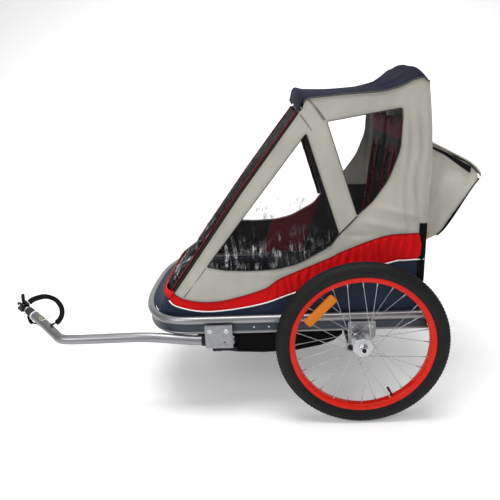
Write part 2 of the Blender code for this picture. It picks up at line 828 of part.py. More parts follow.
def wheels():
    for side, label in ((-1, "left"), (1, "right")):
        lay = Matrix.Translation((0, side * WHEEL_Y, WHEEL_RADIUS)) @ Matrix.Rotation(-side * math.pi / 2, 4, "X")
        axle_empty = pivot(f"axle_{label}_pivot", (0, side * WHEEL_Y, WHEEL_RADIUS))
        wheel_empty = pivot(f"wheel_{label}_pivot", (0, side * WHEEL_Y, WHEEL_RADIUS), axle_empty)
        tyre = ring(f"tyre_{label}", TYRE_HALF, TYRE_SEGMENTS)
        rim = ring(f"rim_{label}", RIM_HALF, TYRE_SEGMENTS)
        hub = turned(f"hub_and_spokes_{label}", hub_profile(), 16, closed=True)
        hub = combine(hub, "UNION", spokes())
        for piece, finish in ((tyre, TYRE_RUBBER), (rim, RED_RIM), (hub, STEEL)):
            piece.data.transform(lay)
            at_pivot(piece, wheel_empty, finish)
        at_pivot(reflector(side, label), wheel_empty, ORANGE)
        axle_and_button(side, label, axle_empty)


def reflector(side, label):
    """A slightly curved bar clipped across the outside of the spokes near the rim."""
    outline = []
    for radius, steps in ((0.152, (-1, -0.5, 0, 0.5, 1)), (0.180, (1, 0.5, 0, -0.5, -1))):
        for step in steps:
            angle = math.radians(136) + step * math.radians(20.5)
            outline.append((radius * math.cos(angle), WHEEL_RADIUS + radius * math.sin(angle)))
    near = side * (WHEEL_Y + 0.0145)
    return upright_plate(f"reflector_{label}", [outline], near, near + side * 0.007)


def axle_and_button(side, label, axle_empty):
    """The pull-out axle with its head, and the release button in the head."""
    axle = cylinder(
        f"axle_pin_{label}",
        (0, side * AXLE_INNER_Y, WHEEL_RADIUS),
        (0, side * (WHEEL_Y + HUB_HALF + 0.003), WHEEL_RADIUS),
        AXLE_RADIUS,
        20,
    )
    head = cylinder(
        "head",
        (0, side * (WHEEL_Y + HUB_HALF + GAP), WHEEL_RADIUS),
        (0, side * AXLE_OUTER_Y, WHEEL_RADIUS),
        0.0095,
        20,
    )
    well = cylinder(
        "well",
        (0, side * (AXLE_OUTER_Y - 0.0110), WHEEL_RADIUS),
        (0, side * (AXLE_OUTER_Y + 0.01), WHEEL_RADIUS),
        BUTTON_RADIUS + GAP,
        20,
    )
    axle = combine(axle, "UNION", head)
    axle = combine(axle, "DIFFERENCE", well)
    at_pivot(axle, axle_empty, STEEL)
    button_empty = pivot(f"button_{label}_pivot", (0, side * (AXLE_OUTER_Y - 0.0070), WHEEL_RADIUS), axle_empty)
    button = cylinder(
        f"release_button_{label}",
        (0, side * (AXLE_OUTER_Y - 0.0070), WHEEL_RADIUS),
        (0, side * (AXLE_OUTER_Y + 0.0055), WHEEL_RADIUS),
        BUTTON_RADIUS,
        20,
    )
    at_pivot(button, button_empty, STEEL)


# ---------------------------------------------------------------- tow bar and hitch
TOW_KNOTS = [
    (-0.372, TOW_Y, TOW_Z),
    (-0.475, TOW_Y, TOW_Z),
    (-0.530, TOW_Y, 0.2595),
    (-0.600, TOW_Y, 0.2670),
    (-0.660, TOW_Y, 0.2705),
    (-0.760, TOW_Y, 0.2695),
    (-0.860, TOW_Y, 0.2685),
    (-0.905, -0.331, 0.2690),
    (-0.940, -0.297, 0.2715),
]
BRACKET_X = (-0.458, -0.376)
LOCK_X = -0.400
LATCH_HINGE = (-0.370, 0.2300)
BRACKET_SECTION = [
    (0.3560, 0.3090),
    (0.3535, 0.3090),
    (0.3535, 0.2385),
    (0.3222, 0.2385),
    (0.3222, 0.2720),
    (0.3197, 0.2720),
    (0.3197, 0.2360),
    (0.3560, 0.2360),
]
HITCH_SIDE = Vector((0, 0, 1)).cross(HITCH_AXIS).normalized()
HITCH_UP = HITCH_AXIS.cross(HITCH_SIDE).normalized()


def on_hitch(along, across=0.0, up=0.0):
    """A point in the hitch's own directions, from the end of the tow bar tube."""
    return HITCH_START + HITCH_AXIS * along + HITCH_SIDE * across + HITCH_UP * up


def hitch_block(name, low, high):
    """A box in the hitch's own directions: along, across and up."""
    made = block(name, low, high)
    turn = Matrix((HITCH_AXIS, HITCH_SIDE, HITCH_UP)).transposed().to_4x4()
    made.data.transform(Matrix.Translation(HITCH_START) @ turn)
    return made


def tow_bracket():
    section = prism("tow_bracket", [[(-y, z) for y, z in BRACKET_SECTION]], BRACKET_X[1] - BRACKET_X[0])
    stand = Matrix(((0, 0, 1), (1, 0, 0), (0, 1, 0))).to_4x4()
    middle = (BRACKET_X[0] + BRACKET_X[1]) / 2
    section.data.transform(Matrix.Translation((middle, 0, 0)) @ stand)
    lock_hole = cylinder("lock_hole", (LOCK_X, -0.31, TOW_Z), (LOCK_X, -0.37, TOW_Z), 0.0033, 12)
    tooth_hole = cylinder("tooth_hole", (LOCK_X, TOW_Y, 0.230), (LOCK_X, TOW_Y, 0.245), 0.0045, 12)
    holes = bolt_holes("holes", TOW_BOLTS_X, -1)
    keep(combine(section, "DIFFERENCE", lock_hole, tooth_hole, holes), STEEL)
    keep(bolts("tow_bracket_bolts", TOW_BOLTS_X, -1, BRACKET_SECTION[0][0]), STEEL)
    ring_profile = [(TOW_RADIUS + GAP, -0.006), (TOW_RADIUS + GAP, 0.006), (0.0178, 0.006), (0.0178, -0.006)]
    bush = turned("tow_bush", ring_profile, 20, closed=True)
    bush.data.transform(
        Matrix.Translation((BRACKET_X[0] - 0.0063, TOW_Y, TOW_Z)) @ Matrix.Rotation(math.pi / 2, 4, "Y")
    )
    keep(bush, BLACK_PLASTIC)
    latch_empty = pivot("tow_latch_pivot", (LATCH_HINGE[0], TOW_Y, LATCH_HINGE[1]))
    latch = block("tow_latch", (-0.440, -0.3520, 0.2245), (-0.366, -0.3240, 0.2357))
    tooth = cylinder("tooth", (LOCK_X, TOW_Y, 0.2340), (LOCK_X, TOW_Y, 0.2399), 0.0030, 12)
    at_pivot(combine(latch, "UNION", tooth), latch_empty, BLACK_PLASTIC)


def tow_bar():
    bar_empty = pivot("tow_bar_pivot", (BRACKET_X[0], TOW_Y, TOW_Z))
    path = smooth_path([*TOW_KNOTS, on_hitch(-0.060), on_hitch(0)], 3)
    bar = tube("tow_bar", path, TOW_RADIUS, 3)
    lock_hole = cylinder("lock_hole", (LOCK_X, -0.31, TOW_Z), (LOCK_X, -0.37, TOW_Z), 0.0033, 12)
    pin_hole = cylinder("pin_hole", on_hitch(PIN_AT, 0, -0.02), on_hitch(PIN_AT, 0, 0.02), 0.0034, 12)
    at_pivot(combine(bar, "DIFFERENCE", lock_hole, pin_hole), bar_empty, ALUMINIUM)
    return bar_empty


def along_hitch(obj, along):
    """Lays a piece turned about Z on the hitch's axis."""
    turn = HITCH_AXIS.to_track_quat("Z", "Y").to_matrix().to_4x4()
    obj.data.transform(Matrix.Translation(on_hitch(along)) @ turn)
    return obj


def hitch(bar_empty):
    """Flexible sleeve, knuckle, head with its jaw, clamp lever, and the pin with its wire clip."""
    ribs = [(0.0, 0.0442)]
    for rib in range(4):
        low = 0.0370 - rib * 0.0090
        ribs += [(0.0118, low + 0.0055), (0.0135, low + 0.0035), (0.0135, low - 0.0005), (0.0118, low - 0.0025)]
    ribs += [(0.0150, 0.0062), (0.0150, GAP), (0.0, GAP)]
    sleeve = along_hitch(turned("hitch_sleeve", ribs, 14), 0)
    at_pivot(sleeve, bar_empty, GREY_PLASTIC)

    knuckle_empty = pivot("hitch_knuckle_pivot", on_hitch(KNUCKLE_AT) , bar_empty)
    ball = [(0.0, 0.0085)]
    ball += [(0.0085 * math.sin(math.radians(a)), 0.0085 * math.cos(math.radians(a))) for a in range(30, 180, 30)]
    ball += [(0.0, -0.0085)]
    at_pivot(along_hitch(turned("hitch_knuckle", ball, 16), KNUCKLE_AT), knuckle_empty, STEEL)

    head_empty = pivot("hitch_head_pivot", on_hitch(KNUCKLE_AT), bar_empty)
    head_empty.parent = knuckle_empty
    head_empty.location = (0, 0, 0)
    start = KNUCKLE_AT + 0.0088
    head = hitch_block("hitch_head", (start, -0.014, -0.013), (start + 0.030, 0.014, 0.013))
    jaw = hitch_block("jaw", (start + 0.012, -0.02, -0.0045), (start + 0.04, 0.02, 0.0045))
    slot = hitch_block("slot", (start + 0.004, -0.0046, 0.0065), (start + 0.04, 0.0046, 0.02))
    head = combine(head, "DIFFERENCE", jaw, slot)
    at_pivot(head, head_empty, BLACK_PLASTIC)

    lever_at = on_hitch(start + 0.013, 0, 0.0115)
    lever_empty = pivot("hitch_lever_pivot", lever_at, bar_empty)
    lever_empty.parent = head_empty
    lever_empty.location = lever_at - on_hitch(KNUCKLE_AT)
    lever = hitch_block("hitch_lever", (start + 0.0097, -0.0042, 0.0082), (start + 0.0163, 0.0042, 0.048))
    at_pivot(lever, lever_empty, BLACK_PLASTIC)

    pin_empty = pivot("hitch_pin_pivot", on_hitch(PIN_AT, 0, 0.0155), bar_empty)
    pin = cylinder("hitch_pin", on_hitch(PIN_AT, 0, -0.0215), on_hitch(PIN_AT, 0, 0.018), 0.0030, 12)
    pin_head = cylinder("pin_head", on_hitch(PIN_AT, 0, 0.0155), on_hitch(PIN_AT, 0, 0.0215), 0.0055, 12)
    at_pivot(combine(pin, "UNION", pin_head), pin_empty, STEEL)

    clip_empty = pivot("pin_clip_pivot", on_hitch(PIN_AT, 0, 0.0235), bar_empty)
    clip_empty.parent = pin_empty
    clip_empty.location = HITCH_UP * 0.008
    loop = [on_hitch(PIN_AT - 0.0005, -0.0035, 0.0235), on_hitch(PIN_AT - 0.006, -0.013, 0.0235)]
    for step in range(7):
        angle = math.radians(-90 + 30 * step)
        loop.append(on_hitch(PIN_AT - 0.0165 - 0.009 * math.cos(angle), 0.016 * math.sin(angle), 0.0235))
    loop += [on_hitch(PIN_AT - 0.006, 0.013, 0.0235), on_hitch(PIN_AT - 0.0005, 0.0035, 0.0235)]
    at_pivot(tube("pin_clip", loop, 0.0011, 0), clip_empty, STEEL)


STRAP_KNOTS = [
    (-1.062, -0.184, 0.3330),
    (-1.046, -0.187, 0.3440),
    (-1.018, -0.193, 0.3540),
    (-0.990, -0.201, 0.3585),
    (-0.958, -0.214, 0.3520),
    (-0.935, -0.232, 0.3350),
    (-0.928, -0.250, 0.3150),
    (-0.937, -0.268, 0.2985),
    (-0.958, -0.279, 0.2925),
]


def safety_strap(bar_empty):
    strap = tube("safety_strap", smooth_path(STRAP_KNOTS, 3), 0.0022, 2)
    at_pivot(strap, bar_empty, BLACK_FABRIC)


# ---------------------------------------------------------------- assembly
rails()
cross_tubes()
axle_brackets()
floor()
seat()
cage_hinges()
rear_empty = pivot("rear_hoop_pivot", (REAR_PIVOT[0], 0, REAR_PIVOT[1]))
front_empty = pivot("front_hoop_pivot", (FRONT_PIVOT[0], 0, FRONT_PIVOT[1]))
hoop("rear_hoop", REAR_PIVOT, (0.168, 0.930), 1.005, 0.169, 0.2975, 0.2745, 0.2880, rear_empty)
hoop("front_hoop", FRONT_PIVOT, (-0.136, 0.890), 0.944, -0.156, 0.2800, 0.2680, 0.2680, front_empty)
cabin_sides()
roof()
front_cover()
rear_panel(rear_empty)
cargo_bag(rear_empty)
flag_sleeve()
wheels()
tow_bracket()
bar = tow_bar()
hitch(bar)
safety_strap(bar)

for piece in parts.objects:
    if piece.type == "MESH":
        piece.data.shade_smooth()
        piece.data.set_sharp_from_angle(angle=math.radians(40))
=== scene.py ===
"""Looks of the child bicycle trailer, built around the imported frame: metalwork, wheels, fabric and seat."""

import math
import random

import bpy
import numpy as np
from mathutils import Matrix, Vector
from mathutils.geometry import delaunay_2d_cdt


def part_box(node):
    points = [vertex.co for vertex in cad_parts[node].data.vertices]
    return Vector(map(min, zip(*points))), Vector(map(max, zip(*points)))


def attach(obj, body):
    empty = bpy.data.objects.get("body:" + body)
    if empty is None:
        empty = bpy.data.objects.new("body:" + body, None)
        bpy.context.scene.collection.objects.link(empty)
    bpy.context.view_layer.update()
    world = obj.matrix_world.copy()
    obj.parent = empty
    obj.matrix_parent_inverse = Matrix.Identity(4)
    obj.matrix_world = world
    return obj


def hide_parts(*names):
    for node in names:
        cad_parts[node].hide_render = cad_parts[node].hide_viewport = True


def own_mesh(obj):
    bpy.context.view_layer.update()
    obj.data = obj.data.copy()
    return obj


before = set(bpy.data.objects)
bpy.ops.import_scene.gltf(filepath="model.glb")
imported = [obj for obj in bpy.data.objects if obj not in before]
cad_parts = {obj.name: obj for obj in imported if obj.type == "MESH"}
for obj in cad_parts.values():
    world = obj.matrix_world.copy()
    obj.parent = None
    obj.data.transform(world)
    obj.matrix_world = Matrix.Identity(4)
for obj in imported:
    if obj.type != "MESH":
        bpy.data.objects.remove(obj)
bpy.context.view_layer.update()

# ---------------------------------------------------------------- sizes, in metres, x from the axle line
AXLE_X = sum(corner.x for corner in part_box("axle_pin_left")) / 2
WHEEL_Y = -sum(corner.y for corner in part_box("tyre_left")) / 2
WHEEL_RADIUS = (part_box("tyre_left")[1].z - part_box("tyre_left")[0].z) / 2
RAIL_Y = -sum(corner.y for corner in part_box("upper_rail_left")) / 2
RAIL_Z = sum(corner.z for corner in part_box("upper_rail_left")) / 2
RAIL_RADIUS = (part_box("upper_rail_left")[1].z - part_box("upper_rail_left")[0].z) / 2
RAIL_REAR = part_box("upper_rail_left")[1].x - AXLE_X
BOW_START = -0.490
BOW_DEPTH = 0.176
BOW_POWER = 2.7
SIDE_FOOT = (0.3215, 0.332)
SIDE_TOP = (0.286, 0.95)
CLOTH = 0.0012
TOW_RADIUS = 0.015
HITCH_START = Vector((-1.035, -0.213, 0.2965))
HITCH_AXIS = Vector((-0.757, 0.617, 0.217)).normalized()
HITCH_SIDE = Vector((0, 0, 1)).cross(HITCH_AXIS).normalized()
HITCH_UP = HITCH_AXIS.cross(HITCH_SIDE).normalized()
KNUCKLE_AT = 0.053
PIN_AT = -0.045
TO_WORLD = Matrix.Translation((AXLE_X, 0, 0))
SIDES = ((-1, "left"), (1, "right"))


# ---------------------------------------------------------------- shader writing
class Value:
    """A shader socket that can be written in sums."""

    def __init__(self, shader, socket):
        self.shader = shader
        self.socket = socket

    def math(self, operation, *values):
        return self.shader.node("ShaderNodeMath", {"operation": operation}, list(values)).first()

    def __add__(self, other):
        return self.math("ADD", self, other)

    def __sub__(self, other):
        return self.math("SUBTRACT", self, other)

    def __rsub__(self, other):
        return self.math("SUBTRACT", other, self)

    def __mul__(self, other):
        return self.math("MULTIPLY", self, other)

    def __truediv__(self, other):
        return self.math("DIVIDE", self, other)

    def __gt__(self, other):
        return self.math("GREATER_THAN", self, other)

    def __lt__(self, other):
        return self.math("LESS_THAN", self, other)

    def at_most(self, other):
        return self.math("MINIMUM", self, other)

    def at_least(self, other):
        return self.math("MAXIMUM", self, other)

    def wave(self):
        """Sine of a value in turns."""
        return self.math("SINE", self * (2 * math.pi))

    def size(self):
        return self.math("ABSOLUTE", self)

    def fraction(self):
        return self.math("FRACT", self)

    __radd__ = __add__
    __rmul__ = __mul__


class Made:
    """A node and its outputs by name."""

    def __init__(self, shader, node):
        self.shader = shader
        self.node = node

    def first(self):
        return self[0]

    def __getitem__(self, name):
        return Value(self.shader, self.node.outputs[name])


class Finish:
    """A Principled material whose varying inputs are written as expressions."""

    def __init__(self, name, color, roughness, metallic=0.0, **constants):
        self.material = bpy.data.materials.new(name)
        self.material.use_nodes = True
        self.tree = self.material.node_tree
        self.surface = self.tree.nodes["Principled BSDF"]
        self.put("Base Color", (*color, 1))
        self.put("Roughness", roughness)
        self.put("Metallic", metallic)
        for words, value in constants.items():
            self.put(words.replace("_", " "), value)
        self.place = self.node("ShaderNodeTexCoord", {}, [])["Object"]

    def node(self, kind, settings, inputs):
        made = self.tree.nodes.new(kind)
        for key, value in settings.items():
            if key == "stops":
                ramp = made.color_ramp
                for element, (position, color) in zip(ramp.elements, value[:2]):
                    element.position = position
                    element.color = (*color, 1)
                for position, color in value[2:]:
                    ramp.elements.new(position).color = (*color, 1)
            else:
                setattr(made, key, value)
        entries = inputs.items() if isinstance(inputs, dict) else enumerate(inputs)
        for key, value in entries:
            if isinstance(value, Value):
                self.tree.links.new(value.socket, made.inputs[key])
            elif value is not None:
                made.inputs[key].default_value = value
        return Made(self, made)

    def put(self, socket, value):
        if isinstance(value, Value):
            self.tree.links.new(value.socket, self.surface.inputs[socket])
        else:
            self.surface.inputs[socket].default_value = value

    def noise(self, scale, detail=3.0, stretch=(1, 1, 1), roughness=0.5):
        place = self.stretched(stretch)
        inputs = {"Vector": place, "Scale": scale, "Detail": detail, "Roughness": roughness}
        return self.node("ShaderNodeTexNoise", {}, inputs)["Fac"]

    def stretched(self, factors):
        if factors == (1, 1, 1):
            return self.place
        return self.node("ShaderNodeMapping", {}, {"Vector": self.place, "Scale": factors})["Vector"]

    def axes(self):
        split = self.node("ShaderNodeSeparateXYZ", {}, [self.place])
        return split["X"], split["Y"], split["Z"]

    def mix(self, share, a, b):
        inputs = {"Factor": share}
        made = self.node("ShaderNodeMix", {"data_type": "RGBA"}, inputs)
        for index, value in ((6, a), (7, b)):
            if isinstance(value, Value):
                self.tree.links.new(value.socket, made.node.inputs[index])
            else:
                made.node.inputs[index].default_value = (*value, 1)
        return Value(self, made.node.outputs[2])

    def bump(self, height, distance, strength=1.0):
        inputs = {"Height": height, "Distance": distance, "Strength": strength}
        self.put("Normal", self.node("ShaderNodeBump", {}, inputs)["Normal"])


def shade(color, factor):
    return tuple(min(1.0, c * factor) for c in color)


THREAD = 0.0011  # spacing of the yarns
RED_SHOULDER_Z = 0.815  # the seat back is dark red above this height
RED_LINING_FROM = -0.262  # the lining's red part, in x from the axle at the height LINING_MIDDLE_Z
RED_LINING_TO = -0.098
LINING_MIDDLE_Z = 0.44
LINING_LEAN = 0.35


def woven(name, color, roughness=0.8, sheen=0.02, stitches=None, folds=0.0016, glow=0.12, patch=None):
    """Coated nylon: fine weave, soft creases, uneven colour with painted shade in the creases, and rows of
    stitches beside each seam.
    """
    made = Finish(name, color, roughness, Sheen_Weight=sheen, Sheen_Roughness=0.4)
    made.put("Specular IOR Level", glow)
    x, y, z = made.axes()
    weave = (x / THREAD).wave() * (z / THREAD).wave() + (y / THREAD).wave() * 0.5
    cloud = made.noise(9.0, 4.0)
    crease = made.noise(15.0, 5.0, (1.0, 1.0, 0.35), 0.6)
    # random uneven tone, plus painted shade: the crease noise that drives the bump also darkens the cloth in
    # its creases
    blend_weight = (cloud - 0.5) * 0.9 + (crease - 0.5) * 0.5 + 0.5
    tint = made.mix(blend_weight.at_most(1.0).at_least(0.0), shade(color, 0.80), shade(color, 1.16))
    if patch is not None:
        second, spot = patch(x, z, cloud)
        tint = made.mix(spot, tint, second)
    height = weave * 0.00006 + crease * folds + made.noise(45.0, 3.0) * (folds * 0.25)
    if stitches is not None:
        seam = made.node("ShaderNodeUVMap", {"uv_map": "seam"}, [])["UV"]
        split = made.node("ShaderNodeSeparateXYZ", {}, [seam])
        along, away = split["X"], split["Y"]
        row = ((away - 0.0045).size() < 0.0007) * ((along / 0.0045).fraction() < 0.62)
        hem = (away < 0.0085) * (away > 0.0075)
        tint = made.mix(row * 0.85, tint, stitches)
        tint = made.mix(hem * 0.28, tint, shade(color, 0.45))
        height = height - row * 0.0004 - (1 - away / 0.009).at_least(0.0) * 0.0005
    made.put("Base Color", tint)
    made.put("Roughness", made.noise(60.0, 2.0) * 0.16 + (roughness - 0.08))
    made.bump(height, 1.0, 0.55)
    return made.material


def satin_tube():
    """Brushed and lacquered aluminium tube with faint drawing lines and dull patches."""
    made = Finish("satin_tube", (0.26, 0.26, 0.27), 0.34, 0.9)
    patch = made.noise(7.0, 4.0)
    lines = made.noise(240.0, 2.0, (0.06, 1.0, 1.0))
    made.put("Base Color", made.mix(patch, (0.21, 0.21, 0.22), (0.32, 0.32, 0.33)))
    made.put("Roughness", patch * 0.18 + lines * 0.10 + 0.24)
    made.bump(lines, 0.0002, 0.35)
    return made.material


def zinc_plate():
    """Galvanised sheet: crystalline blotches, small scratches, dull edges."""
    made = Finish("zinc_plate", (0.45, 0.46, 0.48), 0.45, 0.75)
    cells = made.node("ShaderNodeTexVoronoi", {}, {"Vector": made.place, "Scale": 260.0})["Distance"]
    blotch = made.noise(60.0, 4.0)
    made.put("Base Color", made.mix(blotch * 0.7 + cells * 0.4, (0.15, 0.155, 0.165), (0.36, 0.365, 0.38)))
    made.put("Roughness", blotch * 0.30 + 0.30)
    made.bump(blotch + made.noise(500.0, 2.0) * 0.4, 0.0003, 0.35)
    return made.material


def bright_steel(name, color=(0.72, 0.73, 0.75), roughness=0.22):
    made = Finish(name, color, roughness, 1.0)
    spots = made.noise(130.0, 3.0)
    made.put("Base Color", made.mix(spots, shade(color, 0.82), shade(color, 1.1)))
    made.put("Roughness", spots * 0.2 + (roughness - 0.06))
    return made.material


def red_lacquer():
    """Glossy red rim with orange-peel, uneven tone and tiny bright chips."""
    made = Finish("red_lacquer", (0.62, 0.012, 0.002), 0.3, 0.0, Coat_Weight=0.08, Coat_Roughness=0.12)
    made.put("Specular IOR Level", 0.15)
    haze = made.noise(16.0, 4.0)
    chips = made.noise(420.0, 2.0) > 0.70
    tint = made.mix(haze, (0.52, 0.006, 0.001), (0.70, 0.016, 0.003))
    made.put("Base Color", made.mix(chips * 0.35, tint, (0.75, 0.55, 0.5)))
    made.put("Roughness", haze * 0.22 + 0.2)
    made.bump(made.noise(300.0, 2.0), 0.0001, 0.2)
    return made.material


def tyre_rubber():
    made = Finish("tread_rubber", (0.006, 0.006, 0.007), 0.55)
    made.put("Specular IOR Level", 0.22)
    dust = made.noise(22.0, 5.0)
    made.put("Base Color", made.mix(dust, (0.003, 0.003, 0.0035), (0.010, 0.010, 0.011)))
    made.put("Roughness", dust * 0.3 + 0.5)
    made.bump(made.noise(700.0, 3.0), 0.0003, 0.4)
    return made.material


def moulded(name, color, roughness=0.5):
    """Fine-grained moulded plastic or rubber."""
    made = Finish(name, color, roughness)
    made.put("Specular IOR Level", 0.2)
    cloud = made.noise(30.0, 3.0)
    made.put("Base Color", made.mix(cloud, shade(color, 0.75), shade(color, 1.3)))
    made.put("Roughness", cloud * 0.2 + (roughness - 0.1))
    made.bump(made.noise(900.0, 2.0), 0.0002, 0.5)
    return made.material


def webbing(name, color):
    """Woven strap: ribs across its width and a slightly lighter yarn."""
    made = Finish(name, color, 0.75)
    made.put("Specular IOR Level", 0.12)
    rib = made.noise(1400.0, 1.0, (1.0, 0.25, 1.0))
    cloud = made.noise(40.0, 3.0)
    made.put("Base Color", made.mix(cloud, shade(color, 0.7), shade(color, 1.5)))
    made.bump(rib, 0.0006, 0.6)
    return made.material


def clear_vinyl():
    """Clear flexible window: painted highlights along the creases low on the pane, and a faint cloud, on an
    almost invisible sheet.
    """
    made = Finish("window_vinyl", (0.86, 0.88, 0.90), 0.06, IOR=1.5, Coat_Weight=0.15)
    made.put("Specular IOR Level", 0.3)
    z = made.axes()[2]
    low_down = ((0.60 - z) * 12.0).at_most(1.0).at_least(0.04)
    fold = made.noise(9.0, 4.0, (3.4, 1.0, 0.6), 0.6)
    ridge = 1 - ((fold - 0.5).size() * 34.0).at_most(1.0)
    broken = made.noise(34.0, 4.0)
    fine = 1 - ((made.noise(17.0, 4.0, (4.2, 1.0, 0.5), 0.66) - 0.5).size() * 26.0).at_most(1.0)
    # painted highlight: whitish, more opaque streaks along the crease ridges, only low on the pane, stand in
    # for the light the creases reflect
    crease_glint = (ridge + fine * 0.7) * (broken - 0.46).at_least(0.0) * 2.9 * low_down
    cloud = made.noise(3.5, 3.0)
    made.put("Base Color", made.mix(crease_glint.at_most(1.0), (0.16, 0.16, 0.17), (0.92, 0.93, 0.95)))
    made.put("Alpha", crease_glint.at_most(0.85) * 0.9 + cloud * 0.03 + 0.01)
    made.put("Roughness", cloud * 0.08 + 0.03)
    made.bump(fold, 0.006, 0.7)
    return made.material


def prism_orange():
    """Reflector: small cube-corner cells under clear orange plastic, with a faint painted glow from emission.
    """
    made = Finish("prism_orange", (0.85, 0.22, 0.004), 0.16, Coat_Weight=0.15, Coat_Roughness=0.05)
    made.put("Specular IOR Level", 0.15)
    x, _, z = made.axes()
    cells = (x / 0.0045).wave() * (z / 0.0045).wave()
    made.put("Base Color", made.mix(cells * 0.5 + 0.5, (0.40, 0.075, 0.001), (0.90, 0.27, 0.008)))
    # painted glow: the reflector gives off a little orange light of its own
    made.put("Emission Color", (1.0, 0.30, 0.01, 1))
    made.put("Emission Strength", 0.06)
    made.bump(cells, 0.0012, 0.7)
    return made.material


def strip_navy():
    made = Finish("strip_navy", (0.012, 0.022, 0.038), 0.42)
    cloud = made.noise(14.0, 4.0)
    made.put("Base Color", made.mix(cloud, (0.008, 0.014, 0.026), (0.020, 0.036, 0.058)))
    made.put("Roughness", cloud * 0.25 + 0.32)
    made.bump(made.noise(350.0, 2.0, (0.1, 1.0, 1.0)), 0.0002, 0.3)
    return made.material


STONE = (0.400, 0.390, 0.345)
RED = (0.56, 0.003, 0.005)
NAVY = (0.016, 0.024, 0.046)
ROOF_NAVY = (0.006, 0.0075, 0.018)
DARK_RED = (0.095, 0.005, 0.012)
BLACK = (0.004, 0.004, 0.005)

TUBE = satin_tube()
ZINC = zinc_plate()
STEEL = bright_steel("bright_steel", (0.58, 0.59, 0.60))
SPOKE_STEEL = bright_steel("spoke_steel", (0.46, 0.47, 0.48), 0.28)
BRASS = bright_steel("pin_brass", (0.62, 0.50, 0.30), 0.3)
RIM = red_lacquer()
RUBBER = tyre_rubber()
PLASTIC = moulded("moulded_black", (0.006, 0.006, 0.007))
ELASTOMER = moulded("soft_elastomer", (0.045, 0.045, 0.050), 0.55)
PALE_RING = moulded("pale_ring", (0.75, 0.75, 0.73), 0.4)
ORANGE = prism_orange()
STRIP = strip_navy()
STONE_CLOTH = woven("stone_cloth", STONE, stitches=shade(STONE, 0.62), glow=0.3, folds=0.0040)
RED_CLOTH = woven("red_cloth", RED, 0.62, stitches=shade(RED, 0.5), glow=0.1, folds=0.0032)
NAVY_CLOTH = woven("navy_cloth", NAVY, 0.6, stitches=shade(NAVY, 2.2))
ROOF_CLOTH = woven("roof_cloth", ROOF_NAVY, 0.75, stitches=shade(ROOF_NAVY, 2.5), glow=0.05)
BLACK_CLOTH = woven("black_cloth", BLACK, 0.75, stitches=shade(BLACK, 3.0), glow=0.06)
SEAT_BLACK = woven("seat_black", shade(BLACK, 1.3), 0.7, glow=0.08)


def red_shoulders(x, z, cloud):
    """The dark red top of the seat back."""
    return DARK_RED, (z + cloud * 0.004 > RED_SHOULDER_Z) * 1.0


def red_lining(x, z, cloud):
    """The dark red part of the lining beside the seat."""
    middle = x - (z - LINING_MIDDLE_Z) * LINING_LEAN
    return DARK_RED, (middle > AXLE_X + RED_LINING_FROM) * (middle < AXLE_X + RED_LINING_TO)


SEAT_BACK = woven("seat_back_cloth", shade(BLACK, 1.3), 0.7, glow=0.08, patch=red_shoulders)
# the lining's black is partly painted shade, a dark sheet where the cabin's inside is only in shadow; its
# dark red part is cloth colour
LINING_AND_SHADE = woven("lining_and_shade_cloth", shade(BLACK, 1.1), 0.7, glow=0.10, patch=red_lining)
# painted light: the bag and its lid use the cabin's stone cloth made lighter, standing in for the brighter
# light that falls on them
LIT_BAG_STONE = woven("lit_bag_stone", shade(STONE, 1.25), 0.8, glow=0.3, folds=0.0022)
LIT_BAG_LID_CLOTH = woven("lit_bag_lid_cloth", shade(STONE, 1.3), 0.75, stitches=shade(STONE, 0.62), glow=0.3)
LID_BINDING = webbing("lid_binding", (0.30, 0.29, 0.25))
STRAP = webbing("strap_black", (0.004, 0.004, 0.005))
RED_STRAP = webbing("strap_red", (0.34, 0.006, 0.012))
VINYL = clear_vinyl()
PIPING = moulded("pale_piping", (0.80, 0.80, 0.78), 0.45)
DARK_PIPING = moulded("dark_piping", (0.05, 0.048, 0.045), 0.6)
RED_PIPING = moulded("red_piping", (0.16, 0.006, 0.010), 0.5)


# ---------------------------------------------------------------- making pieces
def deselect():
    bpy.ops.object.select_all(action="DESELECT")


def pick(obj):
    deselect()
    obj.select_set(True)
    bpy.context.view_layer.objects.active = obj


def new_piece(name):
    """The object that an operator has just added, under its own name."""
    obj = bpy.context.object
    obj.name = name
    obj.data.name = name
    return obj


def apply_all(obj):
    pick(obj)
    for modifier in list(obj.modifiers):
        bpy.ops.object.modifier_apply(modifier=modifier.name)
    return obj


def place(obj, finish, body, smooth=35):
    """Finishes a piece: material, smooth shading, its place in its mesh, and the body that it rides on."""
    pick(obj)
    bpy.ops.object.transform_apply(location=True, rotation=True, scale=True)
    obj.data.transform(TO_WORLD)
    if finish is not None:
        obj.data.materials.clear()
        obj.data.materials.append(finish)
    if smooth is None:
        obj.data.shade_smooth()
    else:
        bpy.ops.object.shade_smooth_by_angle(angle=math.radians(smooth))
    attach(obj, body)
    return obj


def outwards(obj):
    pick(obj)
    bpy.ops.object.mode_set(mode="EDIT")
    bpy.ops.mesh.select_all(action="SELECT")
    bpy.ops.mesh.remove_doubles(threshold=0.00002)
    bpy.ops.mesh.normals_make_consistent(inside=False)
    bpy.ops.object.mode_set(mode="OBJECT")
    return obj


def bevelled(obj, width, segments=2, angle=30):
    edge = obj.modifiers.new("edge", "BEVEL")
    edge.width = width
    edge.segments = segments
    edge.limit_method = "ANGLE"
    edge.angle_limit = math.radians(angle)
    return apply_all(obj)


def block(name, low, high, edge=0.0, segments=2):
    low, high = Vector(low), Vector(high)
    deselect()
    bpy.ops.mesh.primitive_cube_add(size=1, location=(low + high) / 2, scale=high - low)
    obj = new_piece(name)
    bpy.ops.object.transform_apply(location=True, rotation=True, scale=True)
    return bevelled(obj, edge, segments) if edge else obj


